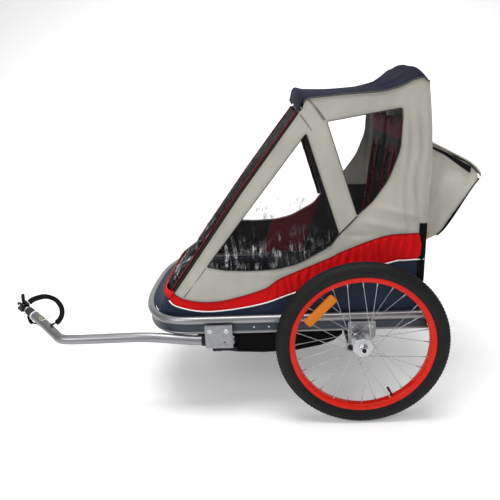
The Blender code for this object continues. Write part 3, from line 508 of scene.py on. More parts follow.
def turned(name, profile, steps, start=(0, 0, 0), direction=(0, 0, 1), closed=False):
    """A turned piece: a circle extruded and widened ring by ring. profile is (radius, height) pairs from
    the bottom up its outside; a closed one comes back down its bore to where it began."""
    deselect()
    radius, height = profile[0]
    fill = "NOTHING" if closed or radius == 0 else "NGON"
    bpy.ops.mesh.primitive_circle_add(vertices=steps, radius=max(radius, 1e-5), fill_type=fill)
    obj = new_piece(name)
    obj.data.transform(Matrix.Translation((0, 0, height)))
    bpy.ops.object.mode_set(mode="EDIT")
    bpy.ops.mesh.select_all(action="SELECT")
    ends = profile[1:] + profile[:1] if closed else profile[1:]
    for new_radius, new_height in ends:
        factor = max(new_radius, 1e-5) / max(radius, 1e-5)
        bpy.ops.mesh.extrude_region_move(
            TRANSFORM_OT_translate={"value": (0, 0, new_height - height)}
        )
        bpy.ops.transform.resize(value=(factor, factor, 1), center_override=(0, 0, 0))
        radius, height = new_radius, new_height
    if not closed and radius > 0 and fill == "NOTHING":
        bpy.ops.mesh.edge_face_add()
    bpy.ops.object.mode_set(mode="OBJECT")
    outwards(obj)
    turn = Vector(direction).to_track_quat("Z", "Y").to_matrix().to_4x4()
    obj.data.transform(Matrix.Translation(start) @ turn)
    return obj


def smooth_path(knots, steps=6, closed=False):
    """Points along a Catmull-Rom curve through the knots."""
    knots = [Vector(k) for k in knots]
    ends = [knots[-1], *knots, knots[0], knots[1]] if closed else None
    ends = ends or [2 * knots[0] - knots[1], *knots, 2 * knots[-1] - knots[-2]]
    path = []
    for a, b, c, d in zip(ends, ends[1:], ends[2:], ends[3:]):
        for step in range(steps):
            t = step / steps
            path.append(
                0.5 * (2 * b + (c - a) * t + (2 * a - 5 * b + 4 * c - d) * t**2)
                + 0.5 * (3 * b - a - 3 * c + d) * t**3
            )
    return path if closed else [*path, knots[-1]]


def rod(name, path, radius, sides=16, closed=False, caps=True):
    """A round bar, wire or piping along a path."""
    data = bpy.data.curves.new(name, "CURVE")
    data.dimensions = "3D"
    spline = data.splines.new("POLY")
    spline.points.add(len(path) - 1)
    for point, corner in zip(spline.points, path):
        point.co = (*corner, 1)
    spline.use_cyclic_u = closed
    data.bevel_depth = radius
    data.bevel_resolution = max(0, sides // 2 - 2)
    data.use_fill_caps = caps
    obj = bpy.data.objects.new(name, data)
    bpy.context.scene.collection.objects.link(obj)
    pick(obj)
    bpy.ops.object.convert(target="MESH")
    return outwards(bpy.context.object)


def plate(name, outlines, thickness, edge=0.0):
    """A flat plate in the XY plane from closed outlines, with its edges eased."""
    data = bpy.data.curves.new(name, "CURVE")
    data.dimensions = "2D"
    data.fill_mode = "BOTH"
    data.extrude = thickness / 2
    for outline in outlines:
        spline = data.splines.new("POLY")
        spline.points.add(len(outline) - 1)
        for point, corner in zip(spline.points, outline):
            point.co = (corner[0], corner[1], 0, 1)
        spline.use_cyclic_u = True
    obj = bpy.data.objects.new(name, data)
    bpy.context.scene.collection.objects.link(obj)
    pick(obj)
    bpy.ops.object.convert(target="MESH")
    obj = outwards(bpy.context.object)
    return bevelled(obj, edge) if edge else obj


def arc(centre, radius, start, end, steps):
    """Points on an arc, angles in degrees."""
    angles = [math.radians(start + (end - start) * i / steps) for i in range(steps + 1)]
    return [(centre[0] + radius * math.cos(a), centre[1] + radius * math.sin(a)) for a in angles]


UPRIGHT = Matrix.Rotation(math.radians(90), 4, "X")


def stand(obj, y):
    """Turns a plate's XY into XZ at a y value."""
    obj.data.transform(Matrix.Translation((0, y, 0)) @ UPRIGHT)
    return obj


def join(name, pieces):
    """Several pieces as one object, each still its own closed shell."""
    pick(pieces[0])
    for piece in pieces[1:]:
        piece.select_set(True)
    bpy.ops.object.join()
    obj = bpy.context.object
    obj.name = name
    return obj


MIRROR = Matrix.Scale(-1, 4, (0, 1, 0))


def bolt_head(name, centre, direction, radius, height):
    """Domed bolt head with a hexagon socket."""
    dome = [
        (radius, 0), (radius, height * 0.35), (radius * 0.86, height * 0.75),
        (radius * 0.55, height), (radius * 0.45, height), (radius * 0.42, height * 0.45),
        (0, height * 0.40),
    ]
    return turned(name, dome, 18, centre, direction)


# ---------------------------------------------------------------- camera, floor and light
def set_up_camera():
    yaw, pitch, roll = math.radians(-3.32), math.radians(16.90), math.radians(3.05)
    ahead = Vector((math.sin(yaw) * math.cos(pitch), math.cos(yaw) * math.cos(pitch), -math.sin(pitch)))
    level = Vector((math.cos(yaw), -math.sin(yaw), 0))
    below = ahead.cross(level)
    right = math.cos(roll) * level + math.sin(roll) * below
    down = math.cos(roll) * below - math.sin(roll) * level
    data = bpy.data.cameras.new("camera")
    data.lens = 37.9
    data.sensor_width = 36
    data.clip_start = 0.01
    camera = bpy.data.objects.new("camera", data)
    bpy.context.scene.collection.objects.link(camera)
    turn = Matrix((right, -down, -ahead)).transposed().to_4x4()
    camera.matrix_world = Matrix.Translation((AXLE_X - 0.229, -1.768, 0.969)) @ turn
    bpy.context.scene.camera = camera


def area_light(name, at, aim, size, power):
    data = bpy.data.lights.new(name, "AREA")
    data.shape = "RECTANGLE"
    data.size, data.size_y = size
    data.energy = power
    lamp = bpy.data.objects.new(name, data)
    bpy.context.scene.collection.objects.link(lamp)
    lamp.location = at
    lamp.rotation_euler = (Vector(aim) - Vector(at)).to_track_quat("-Z", "Y").to_euler()


def set_up_studio():
    """White sweep under and behind the trailer, an even grey sky and large soft lamps."""
    deselect()
    bpy.ops.mesh.primitive_grid_add(x_subdivisions=60, y_subdivisions=60, size=1, location=(0, 0, 0))
    sweep = new_piece("studio_sweep")
    sweep.data.transform(Matrix.Translation((0, 1.5, 0)) @ Matrix.Diagonal((30, 22, 1, 1)))
    for corner in sweep.data.vertices:
        rise = max(0.0, corner.co.y - 5.0)
        corner.co.z = 0.30 * rise**1.6
    paper = Finish("studio_paper", (0.93, 0.93, 0.93), 0.9)
    tone = paper.noise(0.6, 2.0)
    paper.put("Base Color", paper.mix(tone, (0.90, 0.90, 0.90), (0.93, 0.93, 0.93)))
    paper.put("Emission Color", (1, 1, 1, 1))
    paper.put("Emission Strength", 0.19)
    sweep.data.materials.append(paper.material)
    sweep.data.shade_smooth()
    world = bpy.data.worlds.new("studio_sky")
    bpy.context.scene.world = world
    world.use_nodes = True
    sky = world.node_tree.nodes["Background"]
    sky.inputs["Color"].default_value = (1, 1, 1, 1)
    sky.inputs["Strength"].default_value = 0.38
    area_light("overhead", (0.1, -0.4, 3.0), (0.1, 0.1, 0.4), (2.0, 1.5), 76)
    area_light("near_side", (-1.9, -2.6, 2.2), (0.1, 0, 0.5), (1.4, 1.4), 36)
    area_light("sweep_wash", (0.0, 4.0, 4.5), (0.0, 6.5, 0.6), (8.0, 2.0), 260)
    bpy.context.scene.view_settings.view_transform = "Standard"


# ---------------------------------------------------------------- the safety strap, the one free cord
STRAP_KNOTS = [
    (-1.062, -0.184, 0.3330),
    (-1.046, -0.187, 0.3440),
    (-1.018, -0.193, 0.3540),
    (-0.990, -0.201, 0.3585),
    (-0.958, -0.214, 0.3520),
    (-0.935, -0.232, 0.3350),
    (-0.928, -0.250, 0.3150),
    (-0.937, -0.268, 0.2985),
    (-0.958, -0.279, 0.2925),
]
STRAP_ACROSS = [
    (0.30, -0.10, 1.00),
    (0.20, -0.20, 1.00),
    (0.10, -0.20, 1.00),
    (0.05, -0.20, 1.00),
    (0.55, -0.20, 0.75),
    (0.90, -0.20, 0.35),
    (1.00, -0.10, 0.15),
    (0.80, 0.40, 0.20),
    (0.60, 0.75, 0.10),
]
STRAP_WIDTH = 0.018
STRAP_THICKNESS = 0.0018
HARNESS_WIDTH = 0.025


def ribbon(name, path, across, width, thickness):
    """A flat strap along a path; across holds the direction of its width at each point."""
    sections = []
    for i, point in enumerate(path):
        ahead = (path[min(i + 1, len(path) - 1)] - path[max(i - 1, 0)]).normalized()
        wide = Vector(across[i])
        wide = (wide - ahead * wide.dot(ahead)).normalized()
        thick = ahead.cross(wide)
        section = []
        for u, v in ((-1, -1), (-0.5, -1.1), (0.5, -1.1), (1, -1), (1, 1), (0.5, 1.1), (-0.5, 1.1), (-1, 1)):
            section.append(point + wide * (u * width / 2) + thick * (v * thickness / 2))
        sections.append(section)
    return loft(name, sections, closed=True, caps=True)


def loft(name, rows, closed=False, caps=False):
    """Faces between rows of points; closed joins each row's ends, and caps fill the first and last row."""
    count = len(rows[0])
    corners = [tuple(p) for row in rows for p in row]
    faces = []
    for i in range(len(rows) - 1):
        for j in range(count if closed else count - 1):
            k = (j + 1) % count
            faces.append((i * count + j, i * count + k, (i + 1) * count + k, (i + 1) * count + j))
    if caps:
        faces.append(tuple(range(count - 1, -1, -1)))
        faces.append(tuple(range((len(rows) - 1) * count, len(rows) * count)))
    mesh = bpy.data.meshes.new(name)
    mesh.from_pydata(corners, [], faces)
    obj = bpy.data.objects.new(name, mesh)
    bpy.context.scene.collection.objects.link(obj)
    if closed:
        outwards(obj)
    return obj


def length_of(path):
    return sum((b - a).length for a, b in zip(path, path[1:]))


def safety_strap():
    path = smooth_path(STRAP_KNOTS, 5)
    across = smooth_path(STRAP_ACROSS, 5)
    strap = ribbon("safety_webbing", path, across, STRAP_WIDTH, STRAP_THICKNESS)
    place(strap, STRAP, "tow_bar", 50)
    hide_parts("safety_strap")
    moved = [TO_WORLD @ point for point in path]
    round(length_of(path), 3)


# ---------------------------------------------------------------- frame tubes and the strip between them
def bow_path(z, inwards=0.0, steps=48):
    """The front bow in plan, from the left rail round to the right one."""
    half, depth = RAIL_Y - inwards, BOW_DEPTH - inwards
    path = []
    for step in range(steps + 1):
        angle = math.radians(-90 + 180 * step / steps)
        along = abs(math.cos(angle)) ** (2 / BOW_POWER)
        across = math.copysign(abs(math.sin(angle)) ** (2 / BOW_POWER), math.sin(angle))
        path.append(Vector((BOW_START - depth * along, half * across, z)))
    return path


def ring_path(z, inwards=0.0):
    """From the rear end of the left rail, round the bow, to the rear end of the right one."""
    half = RAIL_Y - inwards
    left = [Vector((x, -half, z)) for x in (RAIL_REAR, 0.05, -0.10, -0.25, -0.40)]
    right = [Vector((p.x, half, z)) for p in reversed(left)]
    return [*left, *bow_path(z, inwards), *right]


def frame_tubes():
    upper = rod("upper_tube", ring_path(RAIL_Z), RAIL_RADIUS, 28)
    place(upper, TUBE, "frame")
    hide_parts("upper_rail_left", "upper_rail_right", "front_bow_upper")
    lower = rod("lower_tube", ring_path(0.279), 0.0048, 16)
    place(lower, TUBE, "frame")
    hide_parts("lower_rail_left", "lower_rail_right", "front_bow_lower")
    outer, inner = ring_path(0, -0.0016), ring_path(0, 0.0016)
    levels = (0.2822, 0.2835, 0.2890, 0.2980, 0.3048, 0.3058)
    belly = (0.0, 0.0003, 0.0006, 0.0006, 0.0003, 0.0)
    rows = []
    for here, there in zip(outer, inner):
        front = [Vector((here.x, here.y, z)) for z in levels]
        back = [Vector((there.x, there.y, z)) for z in reversed(levels)]
        away = (here - there).normalized()
        front = [p + away * b for p, b in zip(front, belly)]
        rows.append(front + back)
    strip = loft("frame_strip", rows, closed=True, caps=True)
    place(strip, STRIP, "frame")
    for side, label in SIDES:
        for name, z, radius in (("upper", RAIL_Z, RAIL_RADIUS), ("lower", 0.279, 0.0048)):
            cap = [
                (radius * 0.99, -0.0005), (radius * 1.03, 0.0004), (radius * 1.0, 0.0022),
                (radius * 0.7, 0.003), (0, 0.0032),
            ]
            plug = turned(f"{name}_tube_plug_{label}", cap, 24, (RAIL_REAR, side * RAIL_Y, z), (1, 0, 0))
            place(plug, PLASTIC, "frame")
        for number, x in enumerate((-0.312, -0.267)):
            centre = (x, side * (RAIL_Y + 0.0020), 0.2935)
            head = bolt_head(f"strip_screw_{label}_{number}", centre, (0, side, 0), 0.0030, 0.0012)
            place(head, STEEL, "frame")
    cross = rod(
        "rear_cross_tube", [Vector((0.150, y, RAIL_Z)) for y in (-0.3222, -0.1, 0.1, 0.3222)], 0.009, 20
    )
    place(cross, TUBE, "frame")
    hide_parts("rear_crossbar")
    for name, node, x, half in (
        ("front_under_tube", "front_floor_tube", -0.535, 0.3195),
        ("rear_under_tube", "rear_floor_tube", 0.058, 0.3295),
    ):
        under = rod(name, [Vector((x, y, 0.279)) for y in (-half, -0.1, 0.1, half)], 0.008, 20)
        place(under, TUBE, "frame")
        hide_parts(node)
    beam = rod("axle_beam", [Vector((-0.026, y, 0.227)) for y in (-0.352, -0.1, 0.1, 0.352)], 0.0105, 24)
    place(beam, TUBE, "frame")
    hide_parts("axle_cross_tube")
    for side, label in SIDES:
        lid = [
            (0.0098, -0.002), (0.0098, 0.0004), (0.0112, 0.0006), (0.0112, 0.0018),
            (0.0100, 0.0030), (0, 0.0032),
        ]
        cap = turned(f"axle_beam_cap_{label}", lid, 28, (-0.026, side * 0.352, 0.227), (0, side, 0))
        place(cap, PLASTIC, "frame")


# ---------------------------------------------------------------- brackets
def rounded(outline, radius, steps=4):
    """A closed outline with each corner rounded; radius is one number, or one for each corner."""
    count = len(outline)
    radii = radius if isinstance(radius, (list, tuple)) else [radius] * count
    made = []
    for i, corner in enumerate(outline):
        at = Vector(corner)
        before = Vector(outline[i - 1]) - at
        after = Vector(outline[(i + 1) % count]) - at
        reach = min(radii[i], before.length * 0.48, after.length * 0.48)
        if reach < 1e-5:
            made.append(tuple(at))
            continue
        start, end = at + before.normalized() * reach, at + after.normalized() * reach
        for step in range(steps + 1):
            t = step / steps
            made.append(tuple((1 - t) ** 2 * start + 2 * t * (1 - t) * at + t * t * end))
    return made


def circle(centre, radius, steps=20):
    return arc(centre, radius, 0, 360 - 360 / steps, steps - 1)


def axle_brackets():
    outline = [(-0.036, 0.308), (0.044, 0.308), (0.044, 0.262), (0.028, 0.236), (0.012, 0.231)]
    outline += [(-0.010, 0.231), (-0.012, 0.214), (-0.040, 0.214), (-0.040, 0.236), (-0.036, 0.240)]
    holes = [circle((-0.026, 0.227), 0.0108), circle((0, WHEEL_RADIUS), 0.0098)]
    for side, label in SIDES:
        sheet_metal = plate(f"axle_plate_{label}", [rounded(outline, 0.004), *holes], 0.0026, 0.0005)
        stand(sheet_metal, side * 0.34925)
        flange = block("flange", (-0.034, -0.3492, 0.3045), (0.042, -0.3405, 0.3071), 0.0006)
        if side > 0:
            flange.data.transform(MIRROR)
            flange.data.flip_normals()
        bore = [(0.0105, 0), (0.0105, 0.0512), (0.0092, 0.0522), (0.0064, 0.0522), (0.0064, 0)]
        receiver = turned("receiver", bore, 32, (0, side * 0.300, WHEEL_RADIUS), (0, side, 0), closed=True)
        bracket = join(f"axle_plate_{label}", [sheet_metal, flange, receiver])
        place(bracket, ZINC, "frame")
        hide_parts(f"axle_bracket_{label}")
        screws = []
        for x in (-0.022, 0.029):
            screws.append(bolt_head("bolt", (x, side * 0.3506, 0.2915), (0, side, 0), 0.0050, 0.0036))
            washer = [(0.0028, 0), (0.0062, 0), (0.0062, 0.0007), (0.0028, 0.0007)]
            screws.append(turned("washer", washer, 24, (x, side * 0.3506, 0.2915), (0, side, 0), closed=True))
        nuts = block(
            "nuts", (-0.030, side * 0.3305 - 0.0015, 0.286), (0.037, side * 0.3305 + 0.0015, 0.297), 0.0006
        )
        bolts = join(f"axle_plate_bolts_{label}", [*screws, nuts])
        place(bolts, STEEL, "frame")
        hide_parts(f"axle_bolts_{label}")


def tow_bracket():
    outer = [(-0.458, 0.309), (-0.376, 0.309), (-0.376, 0.236), (-0.458, 0.236)]
    holes = [circle((-0.400, 0.2555), 0.0033, 16)]
    front = plate("bracket_face", [rounded(outer, 0.0045), *holes], 0.0026, 0.0006)
    stand(front, -0.35475)
    bottom = block("bracket_bottom", (-0.458, -0.3550, 0.2360), (-0.376, -0.3198, 0.2385), 0.0006)
    inner_outline = [(-0.458, 0.272), (-0.376, 0.272), (-0.376, 0.2365), (-0.458, 0.2365)]
    inner = plate("bracket_inner", [rounded(inner_outline, [0.004, 0.004, 0, 0]), *holes], 0.0025, 0.0006)
    stand(inner, -0.32095)
    lip = block("bracket_lip", (-0.458, -0.3555, 0.3062), (-0.376, -0.3478, 0.3088), 0.0007)
    bracket = join("tow_saddle", [front, bottom, inner, lip])
    place(bracket, ZINC, "frame")
    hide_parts("tow_bracket")
    screws = []
    for x in (-0.443, -0.394):
        screws.append(bolt_head("bolt", (x, -0.3561, 0.2915), (0, -1, 0), 0.0056, 0.0040))
        washer = [(0.0028, 0), (0.0072, 0), (0.0072, 0.0008), (0.0028, 0.0008)]
        screws.append(turned("washer", washer, 24, (x, -0.3561, 0.2915), (0, -1, 0), closed=True))
    nuts = block("nuts", (-0.451, -0.332, 0.286), (-0.386, -0.329, 0.297), 0.0006)
    bolts = join("tow_saddle_bolts", [*screws, nuts])
    place(bolts, STEEL, "frame")
    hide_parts("tow_bracket_bolts")
    ring_profile = [
        (0.0153, -0.0055), (0.0166, -0.0063), (0.0176, -0.0052), (0.0178, 0), (0.0178, 0.0055),
        (0.0172, 0.0061), (0.0153, 0.0061),
    ]
    bush = turned("tow_bush_ring", ring_profile, 40, (-0.4643, -0.3379, 0.2555), (1, 0, 0), closed=True)
    place(bush, PLASTIC, "frame")
    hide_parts("tow_bush")
    body = block("latch_body", (-0.440, -0.3520, 0.2245), (-0.366, -0.3240, 0.2355), 0.0025, 3)
    grips = [
        block("grip", (-0.437 + i * 0.005, -0.3518, 0.2230), (-0.4345 + i * 0.005, -0.3245, 0.2252), 0.0006)
        for i in range(5)
    ]
    profile = [(0.0030, 0.2340), (0.0030, 0.2392), (0.0022, 0.2399), (0, 0.2399)]
    tooth = turned("tooth", profile, 16, (-0.400, -0.3379, 0))
    latch = join("tow_latch_lever", [body, *grips, tooth])
    place(latch, PLASTIC, "tow_latch")
    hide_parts("tow_latch")


# ---------------------------------------------------------------- wheels
SPOKES = 28


def tyre_profile():
    """Closed profile of the tyre, (radius, distance from the wheel plane), from its crown down one side."""
    half = [
        (0.2482, 0), (0.2480, 0.0045), (0.2468, 0.0105), (0.2440, 0.0160), (0.2405, 0.0200),
        (0.2360, 0.0225), (0.2300, 0.0235), (0.2262, 0.0232), (0.2256, 0.0236), (0.2242, 0.0236),
        (0.2236, 0.0229), (0.2180, 0.0214), (0.2135, 0.0190), (0.2110, 0.0168), (0.2102, 0.0160),
        (0.2102, 0.0118), (0.2042, 0.0112),
    ]
    other = [(r, -w) for r, w in reversed(half) if w > 0]
    return half + other


def tread(lay):
    """Rows of small rubber blocks round the tyre, made once and copied round."""
    blocks = []
    count = 132
    for row, (width, radius, lean, size) in enumerate(
        (
            (0.0, 0.2484, 0.0, (0.0052, 0.0070, 0.0032)),
            (0.0078, 0.2474, 14.0, (0.0058, 0.0052, 0.0032)),
            (0.0144, 0.2447, 34.0, (0.0060, 0.0048, 0.0034)),
            (0.0192, 0.2405, 58.0, (0.0050, 0.0046, 0.0030)),
        )
    ):
        for sign in (1, -1) if width else (1,):
            far = (size[1] / 2, size[0] / 2, size[2] / 2)
            block_mesh = block("knob", tuple(-v for v in far), far, 0.0006, 1)
            stand_at = Matrix.Rotation(math.radians(-sign * lean), 4, "Y")
            block_mesh.data.transform(stand_at)
            block_mesh.data.transform(Matrix.Translation((-sign * width, 0, radius)))
            corners = np.array([tuple(v.co) for v in block_mesh.data.vertices])
            faces = [tuple(p.vertices) for p in block_mesh.data.polygons]
            bpy.data.objects.remove(block_mesh)
            blocks.append((corners, faces, row))
    points, polygons = [], []
    for corners, faces, row in blocks:
        for step in range(count):
            angle = 2 * math.pi * (step + (0.5 if row % 2 else 0)) / count
            # the row stands in the XZ plane at X = width, Z = radius and is turned round X
            turned_z = corners[:, 2] * math.cos(angle) - corners[:, 1] * math.sin(angle)
            turned_y = corners[:, 2] * math.sin(angle) + corners[:, 1] * math.cos(angle)
            base = len(points)
            points.extend(zip(turned_y, turned_z, corners[:, 0]))
            polygons.extend(tuple(base + v for v in face) for face in faces)
    mesh = bpy.data.meshes.new("tread")
    mesh.from_pydata(points, [], polygons)
    obj = bpy.data.objects.new("tread", mesh)
    bpy.context.scene.collection.objects.link(obj)
    outwards(obj)
    obj.data.transform(lay)
    return obj


def wheel(side, label):
    lay = Matrix.Translation((0, side * WHEEL_Y, WHEEL_RADIUS)) @ Matrix.Rotation(-side * math.pi / 2, 4, "X")
    body = f"wheel_{label}"
    casing = turned("casing", tyre_profile(), 160, closed=True)
    casing.data.transform(lay)
    tyre = join(f"tyre_and_tread_{label}", [casing, tread(lay)])
    place(tyre, RUBBER, body)
    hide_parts(f"tyre_{label}")
    half = [
        (0.2034, 0.0118), (0.2092, 0.0124), (0.2099, 0.0132), (0.2099, 0.0148), (0.2092, 0.0157),
        (0.2060, 0.0158), (0.2010, 0.0152), (0.1965, 0.0130), (0.1938, 0.0098), (0.1930, 0.0060),
    ]
    profile = half + [(r, -w) for r, w in reversed(half)]
    rim = turned(f"red_rim_{label}", profile, 160, closed=True)
    rim.data.transform(lay)
    place(rim, RIM, body)
    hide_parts(f"rim_{label}")
    pieces = []
    for hole in range(SPOKES):
        flange = 1 if hole % 2 else -1
        lean = 1 if (hole // 2) % 2 else -1
        at_rim = 2 * math.pi * hole / SPOKES
        at_hub = at_rim - lean * math.radians(77)
        start = Vector(
            (0.0255 * math.cos(at_hub), 0.0255 * math.sin(at_hub), flange * (0.022 + lean * 0.0020))
        )
        end = Vector((0.191 * math.cos(at_rim), 0.191 * math.sin(at_rim), flange * (0.0045 + lean * 0.0020)))
        bend = start.lerp(end, 0.02)
        inner = Vector((start.x, start.y, flange * 0.0205 if lean > 0 else flange * 0.0235))
        pieces.append(rod("spoke", [inner, start, bend, end], 0.0009, 8))
        along = (start - end).normalized()
        collar = [
            (0.0021, -0.003), (0.0021, 0.006), (0.0017, 0.0065), (0.0016, 0.0130),
            (0.0011, 0.0135),
        ]
        pieces.append(turned("nipple", collar, 8, end, along))
    outside = [
        (0.0095, 0.0280), (0.0118, 0.0272), (0.0135, 0.0250), (0.0200, 0.0238), (0.0282, 0.0236),
        (0.0290, 0.0230), (0.0290, 0.0212), (0.0282, 0.0205), (0.0200, 0.0202), (0.0142, 0.0180),
        (0.0124, 0.0130), (0.0120, 0.0080),
    ]
    shell = outside + [(r, -w) for r, w in reversed(outside)] + [(0.0064, -0.0280), (0.0064, 0.0280)]
    pieces.append(turned("hub", shell, 40, closed=True))
    for hole in range(14):
        for flange in (1, -1):
            angle = 2 * math.pi * (hole + (0.25 if flange > 0 else 0.75)) / 14
            at = (0.0218 * math.cos(angle), 0.0218 * math.sin(angle), flange * 0.0236)
            stud = [(0.0014, -0.0008), (0.0014, 0.0003), (0.0009, 0.0007), (0, 0.0007)]
            pieces.append(turned("stud", stud, 8, at, (0, 0, flange)))
    hub = join(f"hub_and_wires_{label}", pieces)
    hub.data.transform(lay)
    place(hub, SPOKE_STEEL, body)
    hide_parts(f"hub_and_spokes_{label}")
    angle = math.radians(-62)
    out = Vector((math.cos(angle), 0, math.sin(angle)))
    stem = [
        (0.0032, 0), (0.0032, 0.010), (0.0028, 0.0105), (0.0028, 0.0190), (0.0036, 0.0195),
        (0.0036, 0.0310), (0.0024, 0.0325), (0, 0.0325),
    ]
    at = Vector((0, side * WHEEL_Y, WHEEL_RADIUS)) + out * 0.1945
    valve = turned(f"valve_{label}", stem, 20, at, -out)
    place(valve, PLASTIC, body)
    reflector(side, label)
    axle(side, label)


def reflector(side, label):
    """Straight prism bar with a moulded border, clipped across the spokes."""
    near = WHEEL_Y + 0.0145
    pieces = []
    lean = math.radians(136)
    middle = Vector((0.166 * math.cos(lean), 0.166 * math.sin(lean)))
    along, out = Vector((-math.sin(lean), math.cos(lean))), Vector((math.cos(lean), math.sin(lean)))
    for length, width, depth in ((0.112, 0.027, (0.0, 0.0045)), (0.108, 0.023, (0.0040, 0.0070))):
        outline = []
        for u, v in ((-1, -1), (1, -1), (1, 1), (-1, 1)):
            corner = middle + along * (u * length / 2) + out * (v * width / 2)
            outline.append((corner.x, corner.y))
        slab = plate("slab", [rounded(outline, 0.007, 5)], depth[1] - depth[0], 0.0009)
        slab.data.transform(Matrix.Translation((0, WHEEL_RADIUS, 0)))
        stand(slab, side * (near + (depth[0] + depth[1]) / 2))
        pieces.append(slab)
    bar = join(f"wheel_reflector_{label}", pieces)
    place(bar, ORANGE, f"wheel_{label}")
    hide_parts(f"reflector_{label}")
    clips = []
    for turn in (136 - 13, 136 + 13):
        a = math.radians(turn)
        centre = Vector((0.166 * math.cos(a), side * (near - 0.0035), WHEEL_RADIUS + 0.166 * math.sin(a)))
        clip = block("clip", (-0.004, -0.0040, -0.004), (0.004, 0.0040, 0.004), 0.0012)
        clip.data.transform(Matrix.Translation(centre) @ Matrix.Rotation(-a, 4, "Y"))
        clips.append(clip)
    place(join(f"reflector_clips_{label}", clips), PLASTIC, f"wheel_{label}")


def axle(side, label):
    base = side * WHEEL_Y
    pin = [
        (0.0048, -0.077), (0.0060, -0.0758), (0.0060, 0.0280), (0.0095, 0.0283), (0.0098, 0.0300),
        (0.0098, 0.0360), (0.0090, 0.0400), (0.0082, 0.0405), (0.0066, 0.0405), (0.0066, 0.0290),
        (0.0, 0.0290),
    ]
    shaft = turned("shaft", pin, 32, (0, base, WHEEL_RADIUS), (0, side, 0))
    nut = [(0.0100, 0.0283), (0.0125, 0.0283), (0.0125, 0.0325), (0.0112, 0.0335), (0.0100, 0.0335)]
    collar = turned("collar", nut, 6, (0, base, WHEEL_RADIUS), (0, side, 0), closed=True)
    axle_piece = join(f"quick_axle_{label}", [shaft, collar])
    place(axle_piece, STEEL, f"axle_{label}")
    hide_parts(f"axle_pin_{label}")
    dome = [
        (0.0060, 0.0340), (0.0062, 0.0346), (0.0062, 0.0440), (0.0055, 0.0455), (0.0035, 0.0460),
        (0, 0.0460),
    ]
    button = turned(f"axle_button_{label}", dome, 28, (0, base, WHEEL_RADIUS), (0, side, 0))
    place(button, PLASTIC, f"button_{label}")
    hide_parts(f"release_button_{label}")


# ---------------------------------------------------------------- tow bar and hitch
TOW_KNOTS = [
    (-0.372, -0.3379, 0.2555),
    (-0.475, -0.3379, 0.2555),
    (-0.530, -0.3379, 0.2595),
    (-0.600, -0.3379, 0.2670),
    (-0.660, -0.3379, 0.2705),
    (-0.760, -0.3379, 0.2695),
    (-0.860, -0.3379, 0.2685),
    (-0.905, -0.3310, 0.2690),
    (-0.940, -0.2970, 0.2715),
]


def on_hitch(along, across=0.0, up=0.0):
    """A point in the hitch's own directions, from the end of the tow bar tube."""
    return HITCH_START + HITCH_AXIS * along + HITCH_SIDE * across + HITCH_UP * up


HITCH_TURN = Matrix((HITCH_AXIS, HITCH_SIDE, HITCH_UP)).transposed().to_4x4()


def to_hitch(obj):
    """Lays a piece drawn along, across and up in the hitch's place."""
    obj.data.transform(Matrix.Translation(HITCH_START) @ HITCH_TURN)
    return obj


def tow_bar():
    path = smooth_path([*TOW_KNOTS, on_hitch(-0.060), on_hitch(0)], 8)
    bar = rod("tow_tube", path, TOW_RADIUS, 28)
    place(bar, TUBE, "tow_bar")
    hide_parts("tow_bar")
    cap = [(0.0149, -0.001), (0.0152, 0.0003), (0.0150, 0.0016), (0.0128, 0.0022), (0, 0.0022)]
    plug = turned("tow_tube_plug", cap, 28, TOW_KNOTS[0], (1, 0, 0))
    place(plug, PLASTIC, "tow_bar")
    pale = [
        (0.0152, 0.0002), (0.0163, 0.0008), (0.0163, 0.0050), (0.0152, 0.0056), (0.0120, 0.0056),
        (0.0120, 0.0002),
    ]
    ring = turned("sleeve_ring", pale, 32, HITCH_START, HITCH_AXIS, closed=True)
    place(ring, PALE_RING, "tow_bar")
    ribs = [(0.0118, 0.0060)]
    rib = [(0.0118, 0), (0.0137, 0.0010), (0.0139, 0.0022), (0.0137, 0.0034), (0.0118, 0.0044)]
    for number in range(6):
        low = 0.0068 + number * 0.0062
        ribs += [(radius, low + up) for radius, up in rib]
    ribs += [(0.0116, 0.0440), (0.0105, 0.0446), (0, 0.0446)]
    sleeve = turned("ribbed_sleeve", ribs, 32, HITCH_START, HITCH_AXIS)
    place(sleeve, ELASTOMER, "tow_bar")
    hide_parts("hitch_sleeve")
    ball = [(0.0050, -0.0084), (0.0058, -0.0070)]
    for turn in range(45, 150, 15):
        ball.append((0.0085 * math.sin(math.radians(turn)), -0.0085 * math.cos(math.radians(turn))))
    ball += [(0.0052, 0.0070), (0.0052, 0.0086), (0, 0.0086)]
    knuckle = turned("hitch_ball", ball, 32, on_hitch(KNUCKLE_AT), HITCH_AXIS)
    place(knuckle, STEEL, "hitch_knuckle")
    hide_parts("hitch_knuckle")


